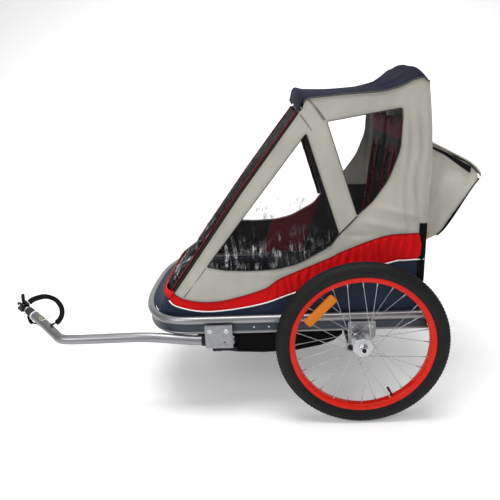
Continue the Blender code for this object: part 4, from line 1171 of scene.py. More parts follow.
def hitch_head():
    """Jaw body in two cheeks with a clevis slot for the lever, and the lever's own hooked grip."""
    start = KNUCKLE_AT + 0.0088
    side_view = [
        (start, -0.0128), (start + 0.0300, -0.0128), (start + 0.0300, -0.0048),
        (start + 0.0122, -0.0048), (start + 0.0122, 0.0048), (start + 0.0300, 0.0048),
        (start + 0.0300, 0.0128), (start, 0.0128),
    ]
    radii = [0.005, 0.003, 0.001, 0.001, 0.001, 0.001, 0.003, 0.005]
    cheeks = []
    for across in (-0.0093, 0.0093):
        cheek = plate("cheek", [rounded(side_view, radii)], 0.0090, 0.0009)
        stand(cheek, across)
        cheeks.append(cheek)
    lower_view = [(start + 0.0005, -0.0124), (start + 0.0296, -0.0124), (start + 0.0296, -0.0052)]
    lower_view += [(start + 0.0130, -0.0052)]
    lower_view += [(start + 0.0130, 0.0044), (start + 0.0035, 0.0060), (start + 0.0005, 0.0060)]
    web = plate("web", [rounded(lower_view, 0.0008)], 0.0100, 0.0003)
    stand(web, 0)
    pivot = [(0.0030, -0.0145), (0.0030, -0.0136), (0.0018, -0.0136)]
    pivot += [(0.0018, 0.0136), (0.0030, 0.0136), (0.0030, 0.0145)]
    bolt = turned("pivot", pivot, 20, (start + 0.013, 0, 0.0104), (0, 1, 0))
    pieces = [*cheeks, web]
    teeth = [
        block(
            "tooth",
            (start + 0.0150 + i * 0.0035, -0.0125, 0.0040),
            (start + 0.0165 + i * 0.0035, 0.0125, 0.0052),
            0.0003,
            1,
        )
        for i in range(4)
    ]
    head = to_hitch(join("hitch_jaw_body", [*pieces, *teeth]))
    place(head, PLASTIC, "hitch_head")
    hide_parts("hitch_head")
    place(to_hitch(join("hitch_pivot_bolt", [bolt])), STEEL, "hitch_head")
    grip = [
        (start + 0.0098, 0.0085), (start + 0.0160, 0.0085), (start + 0.0172, 0.0220),
        (start + 0.0190, 0.0360), (start + 0.0165, 0.0478), (start + 0.0110, 0.0478),
        (start + 0.0092, 0.0360), (start + 0.0100, 0.0220),
    ]
    lever = plate("lever", [rounded(grip, 0.004, 3)], 0.0082, 0.0014)
    stand(lever, 0)
    lever = to_hitch(join("hitch_clamp_lever", [lever]))
    place(lever, PLASTIC, "hitch_lever")
    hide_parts("hitch_lever")


def hitch_pin():
    shank = [
        (0.0020, -0.0215), (0.0030, -0.0200), (0.0030, 0.0155), (0.0052, 0.0158), (0.0056, 0.0170),
        (0.0056, 0.0200), (0.0048, 0.0212), (0.0030, 0.0217), (0, 0.0217),
    ]
    pin = turned("hitch_drop_pin", shank, 28, on_hitch(PIN_AT), HITCH_UP)
    place(pin, BRASS, "hitch_pin")
    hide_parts("hitch_pin")
    loop = [(PIN_AT - 0.0005, -0.0035), (PIN_AT - 0.006, -0.013)]
    for step in range(13):
        angle = math.radians(-90 + 15 * step)
        loop.append((PIN_AT - 0.0165 - 0.009 * math.cos(angle), 0.016 * math.sin(angle)))
    loop += [(PIN_AT - 0.006, 0.013), (PIN_AT - 0.0005, 0.0035)]
    clip = rod("drop_pin_clip", [on_hitch(u, v, 0.0235) for u, v in loop], 0.0011, 12)
    place(clip, STEEL, "pin_clip")
    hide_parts("pin_clip")


def hook_tab():
    """The small webbing loop under the sleeve, and the split ring below the jaw."""
    route = [
        (0.040, 0, -0.0150), (0.044, 0, -0.0260), (0.034, 0, -0.0400), (0.020, 0, -0.0390),
        (0.004, 0, -0.0290), (-0.022, 0, -0.0195), (-0.046, 0, -0.0165),
    ]
    path = smooth_path([on_hitch(*p) for p in route], 5)
    tab = ribbon("hook_tab", path, [HITCH_SIDE] * len(path), 0.012, 0.0018)
    place(tab, STRAP, "tow_bar", 50)
    round(length_of(path), 3)
    ring = arc((KNUCKLE_AT + 0.018, -0.0205), 0.0078, 0, 360, 28)[:-1]
    loop = rod("split_ring", [on_hitch(u, 0, v) for u, v in ring], 0.0010, 10, closed=True, caps=False)
    place(loop, STEEL, "hitch_head")


# ---------------------------------------------------------------- cloth
SLOPE = math.atan2(SIDE_FOOT[0] - SIDE_TOP[0], SIDE_TOP[1] - SIDE_FOOT[1])


def half_width(z):
    return SIDE_FOOT[0] + (SIDE_TOP[0] - SIDE_FOOT[0]) * (z - SIDE_FOOT[1]) / (SIDE_TOP[1] - SIDE_FOOT[1])


def nose_bend(x):
    """How far the side bends inwards towards the nose."""
    share = np.clip((-0.455 - x) / 0.145, 0, 1)
    return 0.036 * share * share


def on_side(x, z, out=0.0, side=-1):
    """A point of the cabin's side, out being its distance outwards."""
    half = half_width(z) - nose_bend(x)
    return np.stack([x + 0 * z, side * (half + out * math.cos(SLOPE)), z + out * math.sin(SLOPE)], axis=-1)


def side_path(outline, out=0.0, side=-1, steps=5):
    """A smooth line drawn on the side."""
    path = smooth_path([(x, z, 0) for x, z in outline], steps)
    return [Vector(on_side(np.float64(p.x), np.float64(p.y), out, side)) for p in path]


def resampled(outline, spacing):
    """Points along a closed outline, corners kept."""
    points = []
    for a, b in zip(outline, outline[1:] + outline[:1]):
        a, b = np.array(a), np.array(b)
        steps = max(1, int(round(np.linalg.norm(b - a) / spacing)))
        points.extend(a + (b - a) * step / steps for step in range(steps))
    return np.array(points)


def nearest_seam(points, loops):
    """For each point, the distance to the nearest seam and how far along it."""
    best = np.full(len(points), 9.0)
    along = np.zeros(len(points))
    for loop in loops:
        run = 0.0
        for a, b in zip(loop, np.roll(loop, -1, axis=0)):
            line = b - a
            length = np.linalg.norm(line)
            share = np.clip(((points - a) @ line) / max(length**2, 1e-12), 0, 1)
            away = np.linalg.norm(points - (a + share[:, None] * line), axis=1)
            closer = away < best
            best = np.where(closer, away, best)
            along = np.where(closer, run + share * length, along)
            run += length
    return best, along


def inside(points, loop):
    """Which points a closed outline holds."""
    found = np.zeros(len(points), bool)
    x, y = points[:, 0], points[:, 1]
    for a, b in zip(loop, np.roll(loop, -1, axis=0)):
        crosses = (a[1] > y) != (b[1] > y)
        with np.errstate(divide="ignore", invalid="ignore"):
            at = (b[0] - a[0]) * (y - a[1]) / (b[1] - a[1]) + a[0]
        found ^= crosses & (x < at)
    return found


def flat_mesh(outline, holes, spacing):
    """Triangles that fill an outline with holes: points, faces, distance to and along the nearest seam."""
    loops = [resampled(list(map(tuple, line)), spacing) for line in (outline, *holes)]
    low, high = loops[0].min(axis=0), loops[0].max(axis=0)
    xs, ys = np.meshgrid(
        np.arange(low[0], high[0], spacing), np.arange(low[1], high[1], spacing * 0.866), indexing="ij"
    )
    xs = xs + np.where(np.arange(xs.shape[1]) % 2, spacing / 2, 0)[None, :]
    grid = np.stack([xs.ravel(), ys.ravel()], axis=1)
    keep = inside(grid, loops[0])
    for loop in loops[1:]:
        keep &= ~inside(grid, loop)
    grid = grid[keep]
    grid = grid[nearest_seam(grid, loops)[0] > spacing * 0.55]
    edges = []
    base = 0
    for loop in loops:
        count = len(loop)
        edges.extend((base + i, base + (i + 1) % count) for i in range(count))
        base += count
    everything = np.concatenate([*loops, grid])
    found = delaunay_2d_cdt([Vector(p) for p in everything], edges, [], 0, 1e-7)
    points = np.array([tuple(p) for p in found[0]])
    faces = [tuple(face) for face in found[2]]
    middles = np.array([points[list(face)].mean(axis=0) for face in faces])
    wanted = inside(middles, loops[0])
    for loop in loops[1:]:
        wanted &= ~inside(middles, loop)
    faces = [face for face, kept in zip(faces, wanted) if kept]
    away, along = nearest_seam(points, loops)
    return points, faces, away, along


def area_of(outline):
    total = 0.0
    for (x0, y0), (x1, y1) in zip(outline, list(outline[1:]) + [outline[0]]):
        total += x0 * y1 - x1 * y0
    return abs(total) / 2


def bumps(x, z, seed, scale, stretch=(1.0, 1.0)):
    """Smooth uneven height, about -1 to 1."""
    chooser = random.Random(seed)
    total = 0.0
    for _ in range(9):
        angle = chooser.uniform(0, math.tau)
        turns = scale * chooser.uniform(0.5, 1.6)
        phase = chooser.uniform(0, math.tau)
        run = x * math.cos(angle) * stretch[0] + z * math.sin(angle) * stretch[1]
        total = total + np.sin(run * turns * math.tau + phase)
    return total / 4.0


def crease(x, z, start, end, width, height):
    """One long fold between two points, fading at both ends."""
    start, end = np.array(start), np.array(end)
    line = end - start
    length = np.linalg.norm(line)
    share = ((x - start[0]) * line[0] + (z - start[1]) * line[1]) / length**2
    off = ((x - start[0]) * -line[1] + (z - start[1]) * line[0]) / length
    blend_weight = np.clip(share * 4, 0, 1) * np.clip((1 - share) * 4, 0, 1)
    return height * np.exp(-((off / width) ** 2)) * blend_weight


def edge_hold(away, width=0.016):
    share = np.clip(away / width, 0, 1)
    return share * share * (3 - 2 * share)


def cloth_piece(name, corners, faces, along, away, outward, thickness=CLOTH):
    """A cloth mesh with its seam map, thickened inwards. outward is a direction that its front faces."""
    mesh = bpy.data.meshes.new(name)
    mesh.from_pydata([tuple(p) for p in corners], [], faces)
    mesh.update()
    facing = sum((p.normal * p.area for p in mesh.polygons), Vector())
    if facing.dot(Vector(outward)) < 0:
        mesh.flip_normals()
    layer = mesh.uv_layers.new(name="seam")
    for loop in mesh.loops:
        layer.data[loop.index].uv = (along[loop.vertex_index], away[loop.vertex_index])
    obj = bpy.data.objects.new(name, mesh)
    bpy.context.scene.collection.objects.link(obj)
    thick = obj.modifiers.new("thickness", "SOLIDIFY")
    thick.thickness = thickness
    thick.offset = -1
    return apply_all(obj)


def cut_size(points, area):
    """Width and length of the piece of cloth that a panel is cut from."""
    centred = points - points.mean(axis=0)
    turned_points = centred @ np.linalg.svd(centred, full_matrices=False)[2].T
    width, length = sorted(float(v) for v in np.ptp(turned_points, axis=0))
    width = min(max(width, area / length * 1.02), area / length / 0.35)
    return round(width, 3), round(length, 3)


def side_cloth(name, outline, holes, finish, side, folds=None, lift=0.0, spacing=0.007):
    """A panel of the cabin's side, cut flat and laid on the slope with its folds."""
    points, faces, away, along = flat_mesh(outline, holes, spacing)
    x, z = points[:, 0], points[:, 1]
    out = np.full(len(x), lift)
    if folds is not None:
        out = out + folds(x, z, away)
    obj = cloth_piece(name, on_side(x, z, out, side), faces, along, away, (0, side, 0.06))
    place(obj, finish, "frame", 60)
    area = area_of(outline) - sum(area_of(hole) for hole in holes)
    fold_down(obj)
    cut_size(points, area)
    return obj


def fold_down(obj):
    """Gives the piece its own copy of its mesh."""
    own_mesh(obj)


RED_TOP = [
    (-0.549, 0.393), (-0.516, 0.378), (-0.448, 0.370), (-0.379, 0.377), (-0.276, 0.406),
    (-0.226, 0.437), (-0.085, 0.493), (-0.050, 0.510), (0.064, 0.550), (0.130, 0.556),
    (0.1872, 0.5565),
]
PIPING_LINE = [
    (-0.568, 0.371), (-0.541, 0.354), (-0.436, 0.341), (-0.292, 0.359), (-0.179, 0.395),
    (0.077, 0.471), (0.130, 0.479), (0.1843, 0.4810),
]
ROOF_SEAM = [
    (-0.148, 0.928), (-0.137, 0.937), (-0.105, 0.940), (-0.025, 0.944), (0.055, 0.946),
    (0.097, 0.953), (0.121, 0.961), (0.142, 0.970), (0.168, 0.976), (0.184, 0.966),
]
REAR_EDGE = [
    (0.1785, 0.332), (0.181, 0.41), (0.189, 0.59), (0.1975, 0.76), (0.1945, 0.85), (0.190, 0.907),
]
FRONT_EDGE = [(-0.600, 0.334), (-0.549, 0.393), (-0.334, 0.684), (-0.163, 0.901)]
FRONT_OPENING = [
    (-0.444, 0.478), (-0.391, 0.466), (-0.317, 0.462), (-0.240, 0.464), (-0.174, 0.479),
    (-0.084, 0.527), (-0.057, 0.564), (-0.144, 0.848),
]
REAR_OPENING = [
    (-0.087, 0.876), (-0.006, 0.614), (0.036, 0.650), (0.081, 0.712), (0.112, 0.792),
    (0.117, 0.879), (0.115, 0.903),
]
# painted shade: a thin dark line below the front window's corner stands in for the shade of a fold
PILLAR_FOLD_SHADE = [(-0.446, 0.476), (-0.480, 0.432), (-0.519, 0.385)]
BRIDGE_SEAM = [(-0.084, 0.527), (-0.057, 0.561), (-0.030, 0.587), (-0.006, 0.612)]
CORNER_SEAMS = [[(-0.160, 0.899), (-0.145, 0.878), (-0.128, 0.853)]]
CORNER_SEAMS += [[(-0.139, 0.937), (-0.118, 0.912), (-0.095, 0.880)]]
CORNER_SEAMS += [[(-0.134, 0.937), (-0.113, 0.912), (-0.091, 0.880)]]


def flat_curve(outline, steps=5):
    """A smooth open line in x and z."""
    return [(p.x, p.y) for p in smooth_path([(x, z, 0) for x, z in outline], steps)]


def soft_opening(outline, radius):
    return rounded(outline, radius, 5)


FRONT_WINDOW = soft_opening(FRONT_OPENING, [0.008, 0.02, 0.02, 0.02, 0.02, 0.02, 0.004, 0.008])
REAR_WINDOW = soft_opening(REAR_OPENING, [0.004, 0.005, 0.02, 0.02, 0.02, 0.012, 0.006])


def front_x(z):
    """x of the cabin's front edge at a height."""
    heights = [p[1] for p in FRONT_EDGE]
    return np.interp(z, heights, [p[0] for p in FRONT_EDGE])


def rear_x(z):
    heights = [p[1] for p in REAR_EDGE] + [0.966]
    return np.interp(z, heights, [p[0] for p in REAR_EDGE] + [0.184])


def stone_folds(x, z, away):
    """Soft drapes behind the rear window and tension folds below the windows."""
    hold = edge_hold(away)
    behind = np.clip((x - 0.10) / 0.03, 0, 1) * np.clip((0.93 - z) / 0.1, 0, 1)
    out = 0.0022 * behind * np.sin((x + 0.006 * np.sin(z * 21)) * math.tau / 0.030 + 1.1)
    out = out + 0.0012 * bumps(x, z, 3, 9, (1.6, 0.6))
    out = out + crease(x, z, (-0.010, 0.600), (0.150, 0.565), 0.010, 0.0045)
    out = out + crease(x, z, (0.030, 0.640), (0.185, 0.600), 0.009, 0.0040)
    out = out + crease(x, z, (-0.050, 0.560), (0.080, 0.552), 0.007, -0.0035)
    out = out + crease(x, z, (-0.430, 0.470), (-0.170, 0.440), 0.012, 0.0035)
    out = out + crease(x, z, (-0.260, 0.455), (-0.060, 0.520), 0.009, -0.0030)
    out = out + crease(x, z, (0.140, 0.930), (0.178, 0.700), 0.008, 0.0045)
    out = out + crease(x, z, (0.120, 0.780), (0.176, 0.580), 0.008, 0.0040)
    return hold * out


def red_folds(x, z, away):
    """Vertical puckers where the band is gathered above the wheel, smoother towards the nose."""
    hold = edge_hold(away, 0.010)
    rear = np.clip((x + 0.30) / 0.12, 0, 1)
    wave = np.sin((x + 0.004 * np.sin(z * 60 + x * 30)) * math.tau / 0.023)
    finer = np.sin((x * 1.0 + 0.003 * np.sin(z * 90)) * math.tau / 0.0135 + 2.0)
    out = rear * (0.0026 * wave + 0.0012 * finer) + (1 - rear) * 0.0012 * bumps(x, z, 5, 12)
    return hold * (out + 0.0022 * rear)


def navy_folds(x, z, away):
    return edge_hold(away, 0.012) * (0.0014 * bumps(x, z, 8, 8) + 0.0010)


def cabin_sides():
    red_top, piping = flat_curve(RED_TOP), flat_curve(PIPING_LINE)
    roof_edge = flat_curve(ROOF_SEAM)
    rear_above = [(float(rear_x(z)), z) for z in (0.956, 0.907, 0.85, 0.80, 0.76, 0.70, 0.64, 0.59)]
    stone = [FRONT_EDGE[2], FRONT_EDGE[3], (-0.152, 0.912), *roof_edge, *rear_above, *reversed(red_top)]
    red = [*red_top, (float(rear_x(0.52)), 0.52), *reversed(piping)]
    foot = [(x, 0.3245) for x in np.linspace(0.1782, -0.600, 24)]
    navy = [*piping, (float(rear_x(0.41)), 0.41), *foot, FRONT_EDGE[0]]
    for side, label in SIDES:
        panel = side_cloth(
            f"stone_side_{label}", stone, [FRONT_WINDOW, REAR_WINDOW], STONE_CLOTH, side, stone_folds
        )
        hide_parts(f"side_panel_{label}")
        side_cloth(f"red_band_{label}", red, [], RED_CLOTH, side, red_folds, 0.0006, 0.0045)
        side_cloth(f"navy_skirt_{label}", navy, [], NAVY_CLOTH, side, navy_folds)
        edge = rod(f"pale_piping_{label}", side_path(PIPING_LINE, 0.0022, side), 0.0019, 10)
        trim(edge, PIPING)
        seam = rod(f"red_seam_{label}", side_path(RED_TOP, 0.0012, side), 0.0013, 8)
        trim(seam, RED_PIPING)
        # painted shade line for the fold below the window corner
        pillar = rod(f"pillar_fold_shade_{label}", side_path(PILLAR_FOLD_SHADE, 0.0004, side), 0.0008, 8)
        trim(pillar, DARK_PIPING)
        bridge = rod(f"bridge_seam_{label}", side_path(BRIDGE_SEAM, 0.0006, side), 0.0018, 8)
        trim(bridge, PLASTIC)
        for number, line in enumerate(CORNER_SEAMS):
            trim(rod(f"corner_seam_{label}_{number}", side_path(line, 0.0004, side), 0.0008, 8), DARK_PIPING)
        zip_band(side, label)
        for name, opening in (("front", FRONT_WINDOW), ("rear", REAR_WINDOW)):
            path = [Vector(on_side(np.float64(x), np.float64(z), 0.0006, side)) for x, z in opening]
            binding = rod(f"{name}_window_binding_{label}", path, 0.0012, 8, closed=True, caps=False)
            trim(binding, DARK_PIPING)
            window_pane(name, opening, side, label)


# outline of the dark lining, which is partly painted shade inside the cabin
LINING_OUTLINE = [
    *reversed(FRONT_EDGE), (-0.594, 0.327), (0.176, 0.327), (0.180, 0.410), (0.186, 0.560),
    (0.160, 0.592), (-0.012, 0.598), (-0.046, 0.568), (-0.134, 0.862), (-0.150, 0.885),
]


def zip_band(side, label):
    """The cabin's dark lining around the front window, partly black cloth and partly a dark sheet that stands
    in for the shade inside the cabin, and the zip at the window's rear edge.
    """
    hole = grown(FRONT_WINDOW, 0.0015)

    def slack(x, z, away):
        return -0.0068 + edge_hold(away, 0.03) * 0.0015 * bumps(x, z, 41, 7)

    side_cloth(f"side_lining_and_shade_{label}", LINING_OUTLINE, [hole], LINING_AND_SHADE, side, slack, 0.0, 0.010)
    band = [(-0.141, 0.846), (-0.150, 0.836), (-0.069, 0.562), (-0.058, 0.566)]
    side_cloth(f"window_zip_{label}", band, [], BLACK_CLOTH, side, None, -0.0078, 0.008)


def trim(obj, finish, body="frame"):
    """Piping or binding sewn on the cabin."""
    place(obj, finish, body, 60)
    fold_down(obj)


def grown(outline, distance):
    """A closed outline moved outwards."""
    count = len(outline)
    turned_by = sum(
        outline[i][0] * outline[(i + 1) % count][1] - outline[(i + 1) % count][0] * outline[i][1]
        for i in range(count)
    )
    distance = math.copysign(distance, turned_by)
    moved = []
    for i, place_at in enumerate(outline):
        ahead = (Vector(outline[(i + 1) % count]) - Vector(outline[i - 1])).normalized()
        moved.append((place_at[0] + distance * ahead.y, place_at[1] - distance * ahead.x))
    return moved


def window_pane(name, opening, side, label):
    def folds(x, z, away):
        slack = edge_hold(away, 0.05)
        return slack * (0.0035 * bumps(x, z, 11 + len(name), 5, (1.4, 0.7)) - 0.003) - 0.0022

    pane = grown(opening, 0.007)
    obj = side_cloth(f"{name}_vinyl_{label}", pane, [], VINYL, side, folds, 0.0, 0.009)
    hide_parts(f"window_{name}_{label}")


# ---------------------------------------------------------------- roof, front cover and nose
ROOF_CROWN = [
    (-0.178, 0.930),
    (-0.165, 0.966),
    (-0.130, 0.961),
    (-0.030, 0.958),
    (0.060, 0.963),
    (0.110, 0.974),
    (0.145, 0.998),
    (0.170, 1.018),
    (0.187, 1.000),
    (0.188, 0.985),
]
ROOF_SIDE = [
    (-0.162, 0.905),
    (-0.152, 0.930),
    (-0.135, 0.9390),
    (-0.030, 0.9450),
    (0.060, 0.9475),
    (0.110, 0.9585),
    (0.145, 0.9720),
    (0.166, 0.9770),
    (0.1800, 0.9700),
    (0.1845, 0.9665),
]


def grid_cloth(
    name, rows, finish, outward, thickness=CLOTH, smooth=60, body="frame"
):
    """Cloth through rows of points, with its seam map taken from the four edges."""
    corners = np.array([[tuple(p) for p in row] for row in rows])
    count, width = corners.shape[:2]
    steps_across = np.linalg.norm(np.diff(corners, axis=1), axis=2)
    steps_up = np.linalg.norm(np.diff(corners, axis=0), axis=2)
    across = np.concatenate([np.zeros((count, 1)), np.cumsum(steps_across, axis=1)], axis=1)
    up = np.concatenate([np.zeros((1, width)), np.cumsum(steps_up, axis=0)], axis=0)
    choices = np.stack([across, across[:, -1:] - across, up, up[-1:] - up])
    nearest = choices.argmin(axis=0)
    away = choices.min(axis=0)
    along = np.where(nearest < 2, up, across)
    faces = []
    for i in range(count - 1):
        for j in range(width - 1):
            faces.append((i * width + j, i * width + j + 1, (i + 1) * width + j + 1, (i + 1) * width + j))
    obj = cloth_piece(name, corners.reshape(-1, 3), faces, along.ravel(), away.ravel(), outward, thickness)
    place(obj, finish, body, smooth)
    if body == "frame" and corners[..., 2].max() > 0.31:
        fold_down(obj)
    return obj


def roof():
    crown = smooth_path([(x, z, 0) for x, z in ROOF_CROWN], 6)
    edge = smooth_path([(x, z, 0) for x, z in ROOF_SIDE], 6)
    rows = []
    columns = 72
    for i, (top, low) in enumerate(zip(crown, edge)):
        row = []
        for column in range(columns + 1):
            across = -1 + 2 * column / columns
            share = (1 - abs(across) ** 2.2) ** 0.75
            half = half_width(low.y) + 0.0006
            x = low.x + (top.x - low.x) * share
            z = low.y + 0.0008 + (top.y - low.y) * share
            hold = min(1.0, (1 - abs(across)) * 6) * min(1.0, i / 8, (len(edge) - 1 - i) / 8)
            fold = 0.0030 * math.sin(across * 17 + x * 30) * math.exp(-(((x - 0.09) / 0.05) ** 2))
            fold += 0.0015 * math.sin(across * 9 + x * 41 + 1.0)
            row.append((x, half * across, z + hold * fold))
        rows.append(row)
    obj = grid_cloth("roof_cover", rows, ROOF_CLOTH, (0, 0, 1))
    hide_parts("roof_panel")
    for side, label in SIDES:
        line = [(x - 0.002, z + 0.0015) for x, z in ROOF_SEAM]
        trim(rod(f"roof_side_seam_{label}", side_path(line, 0.0018, side), 0.0018, 8), DARK_PIPING)


COVER_HEAD = (-0.1705, 0.9030)


def nose_low(y):
    """Where the skirt meets the top of the bow tube."""
    half = RAIL_Y
    share = max(0.0, 1 - (abs(y) / half) ** BOW_POWER) ** (1 / BOW_POWER)
    return Vector((BOW_START - BOW_DEPTH * share + 0.012, y, 0.3285))


def nose_line(y):
    """The lower edge of the red line round the nose."""
    share = min(1.0, abs(y) / 0.283) ** 6
    return Vector((-0.604 + 0.036 * share, y, 0.375 - 0.004 * share))


def nose_red(y):
    """The upper edge of the red line, which widens towards the sides."""
    share = min(1.0, abs(y) / 0.283) ** 5
    width = 0.007 + 0.022 * share
    return nose_line(y) + Vector((0.66, 0, 0.76)) * width


def cover_point(y_share, t):
    """A point of the front cover, from the red line up to the roof."""
    foot = nose_red(0.283 * y_share)
    z = foot.z + (COVER_HEAD[1] - foot.z) * t
    half = float(half_width(z) - nose_bend(front_x(z))) - 0.001
    straight = foot.x + (COVER_HEAD[0] - foot.x) * t
    side = float(front_x(z))
    share = abs(y_share) ** 3
    bulge = 0.012 * (1 - y_share**2) * math.sin(math.pi * t) ** 0.7
    return Vector((straight * (1 - share) + side * share - bulge, half * y_share, z))


def vinyl_wave(s, t):
    hold = (1 - s * s) * min(1.0, 8 * t * (1 - t))
    return 0.0030 * math.sin(s * 5.1 + t * 9) * math.sin(t * 13 + s * 2) * hold


def front_of_cabin():
    """Navy skirt and red line round the nose, and the clear front cover with its bound edges."""
    shares = [math.sin(math.radians(-90 + 180 * i / 60)) for i in range(61)]
    skirt = []
    for row in range(9):
        t = row / 8
        line = []
        for s in shares:
            y = 0.283 * s
            low, high = nose_low(y * 1.015), nose_line(y)
            belly = 0.005 * math.sin(math.pi * t)
            fold = 0.0012 * math.sin(s * 30) * math.sin(math.pi * t)
            line.append(low.lerp(high, t) + Vector((0.6, 0, -0.6)) * (belly + fold))
        skirt.append(line)
    grid_cloth("nose_skirt", skirt, NAVY_CLOTH, (-1, 0, 0.7))
    band = []
    for t in (0, 0.33, 0.66, 1):
        band.append(
            [nose_line(0.283 * s).lerp(nose_red(0.283 * s), t) - Vector((0.0008, 0, 0)) for s in shares]
        )
    grid_cloth("nose_red_line", band, RED_CLOTH, (-1, 0, 0.7))
    pipe = [nose_line(0.283 * s) + Vector((-0.0016, 0, 0.0004)) for s in shares]
    trim(rod("nose_piping", pipe, 0.0016, 10), RED_PIPING)
    border = 0.15
    left = [-1 + border * i / 4 for i in range(5)]
    middle = [-1 + border + (2 - 2 * border) * i / 40 for i in range(41)]
    right = [1 - border + border * i / 4 for i in range(5)]
    heights = [i / 48 for i in range(49)]
    for name, across in (("left", left), ("right", right)):
        rows = [[cover_point(s, t) for s in across] for t in heights]
        grid_cloth(f"cover_edge_{name}", rows, BLACK_CLOTH, (-0.7, 0, 0.5))
    head_rows = [[cover_point(s, t) for s in middle] for t in (0.955, 0.97, 0.985, 1.0)]
    head = grid_cloth("cover_head", head_rows, BLACK_CLOTH, (-0.7, 0, 0.5))
    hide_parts("front_cover")
    foot_rows = [[cover_point(s, t) for s in middle] for t in (0.0, 0.010, 0.020, 0.030)]
    grid_cloth("cover_foot", foot_rows, BLACK_CLOTH, (-0.7, 0, 0.5))
    clear = []
    for i in range(41):
        t = 0.026 + (0.958 - 0.026) * i / 40
        clear.append([cover_point(s, t) + Vector((0.0018 + vinyl_wave(s, t), 0, -0.0014)) for s in middle])
    pane = grid_cloth("cover_vinyl", clear, VINYL, (-0.7, 0, 0.5), 0.0006)
    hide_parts("front_window")
    inner = (("left_inner", -1 + border), ("right_inner", 1 - border))
    for name, s in (*inner, ("left_outer", -1.0), ("right_outer", 1.0)):
        path = [cover_point(s, t) + Vector((-0.0016, 0, 0.0012)) for t in heights]
        outer = "outer" in name
        trim(rod(f"cover_piping_{name}", path, 0.0022, 10), PLASTIC if outer else RED_PIPING)


REAR_PANEL = [
    (0.334, 0.1790), (0.41, 0.1816), (0.59, 0.1896), (0.76, 0.1980), (0.85, 0.1951),
    (0.907, 0.1906), (0.955, 0.1858),
]


def rear_panel():
    for name, low, high, finish in (
        ("rear_skirt", 0.326, 0.481, NAVY_CLOTH),
        ("rear_red_band", 0.481, 0.5565, RED_CLOTH),
        ("rear_stone_panel", 0.5565, 0.970, STONE_CLOTH),
    ):
        rows = []
        steps = max(6, int((high - low) / 0.008))
        for i in range(steps + 1):
            z = low + (high - low) * i / steps
            x = float(np.interp(z, [p[0] for p in REAR_PANEL], [p[1] for p in REAR_PANEL]))
            row = []
            for j in range(65):
                s = -1 + 2 * j / 64
                hold = min(1.0, (1 - abs(s)) * 8) * min(1.0, 5 * i / steps, 5 * (steps - i) / steps)
                fold = 0.0015 * math.sin(s * 11 + z * 17) + 0.0010 * math.sin(s * 23 - z * 31)
                row.append((x + 0.0010 + hold * (fold + 0.001), float(half_width(z)) * s, z))
            rows.append(row)
        obj = grid_cloth(name, rows, finish, (1, 0, 0), body="rear_hoop")
        if name == "rear_stone_panel":
            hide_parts("rear_panel")
    for name, z in (("rear_piping", 0.481), ("rear_red_seam", 0.5565)):
        x = float(np.interp(z, [p[0] for p in REAR_PANEL], [p[1] for p in REAR_PANEL]))
        half = float(half_width(z))
        line = rod(name, [Vector((x + 0.002, half * s / 10, z)) for s in range(-10, 11)], 0.0018, 10)
        place(line, PIPING if name == "rear_piping" else RED_PIPING, "rear_hoop")


# ---------------------------------------------------------------- folding hoops and their hinges
def hoop(name, node, body, foot, shoulder, crown_z, crown_x, foot_y, shoulder_y, barrel_inner):
    path = [Vector((foot[0], -foot_y, foot[1])), Vector((shoulder[0], -shoulder_y, shoulder[1]))]
    arch = 33
    for step in range(1, arch):
        angle = math.pi * step / arch
        share = math.sin(angle) ** 0.8
        x = shoulder[0] + (crown_x - shoulder[0]) * share
        path.append(Vector((x, -shoulder_y * math.cos(angle), shoulder[1] + (crown_z - shoulder[1]) * share)))
    path += [Vector((p.x, -p.y, p.z)) for p in (path[1], path[0])]
    pieces = [rod(name, path, 0.009, 20)]
    for side in (-1, 1):
        length = 0.3085 - barrel_inner
        profile = [
            (0.0043, 0), (0.0105, 0), (0.0115, 0.0010), (0.0115, length - 0.001), (0.0105, length),
            (0.0043, length),
        ]
        pieces.append(

            turned("barrel", profile, 28, (foot[0], side * barrel_inner, foot[1]), (0, side, 0), closed=True),
        )
    made = join(name, pieces)
    place(made, TUBE, body)
    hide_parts(node)


def cage():
    hoop(
        "rear_hoop_tube", "rear_hoop", "rear_hoop", (0.165, 0.375), (0.168, 0.930), 1.005, 0.169,
        0.2975, 0.2745, 0.2880,
    )
    hoop(
        "front_hoop_tube", "front_hoop", "front_hoop", (0.060, 0.349), (-0.136, 0.890), 0.944,
        -0.156, 0.2800, 0.2680, 0.2680,
    )
    outline = [(0.042, 0.3325), (0.178, 0.3325), (0.178, 0.381), (0.170, 0.3875), (0.158, 0.3875)]
    outline += [(0.080, 0.362), (0.060, 0.364), (0.044, 0.358)]
    for side, label in SIDES:
        face = plate("hinge_face", [rounded(outline, 0.004)], 0.0028, 0.0005)
        stand(face, side * 0.3105)
        pins = []
        for (x, z), inner in (((0.165, 0.375), 0.286), ((0.060, 0.349), 0.266)):
            length = 0.3110 - inner
            profile = [(0.0034, 0), (0.0040, 0.0010), (0.0040, length), (0, length)]
            pins.append(turned("pin", profile, 20, (x, side * inner, z), (0, side, 0)))
        hinge = join(f"hinge_plate_{label}", [face, *pins])
        place(hinge, ZINC, "frame")
        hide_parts(f"cage_hinge_{label}")


# ---------------------------------------------------------------- floor, footwell and seat
WELL_PROFILE = [
    (-0.500, 0.2988), (-0.492, 0.222), (-0.470, 0.202), (-0.430, 0.188), (-0.370, 0.180),
    (-0.290, 0.176), (-0.190, 0.180), (-0.110, 0.196), (-0.068, 0.212), (-0.044, 0.232),
    (-0.039, 0.2988),
]


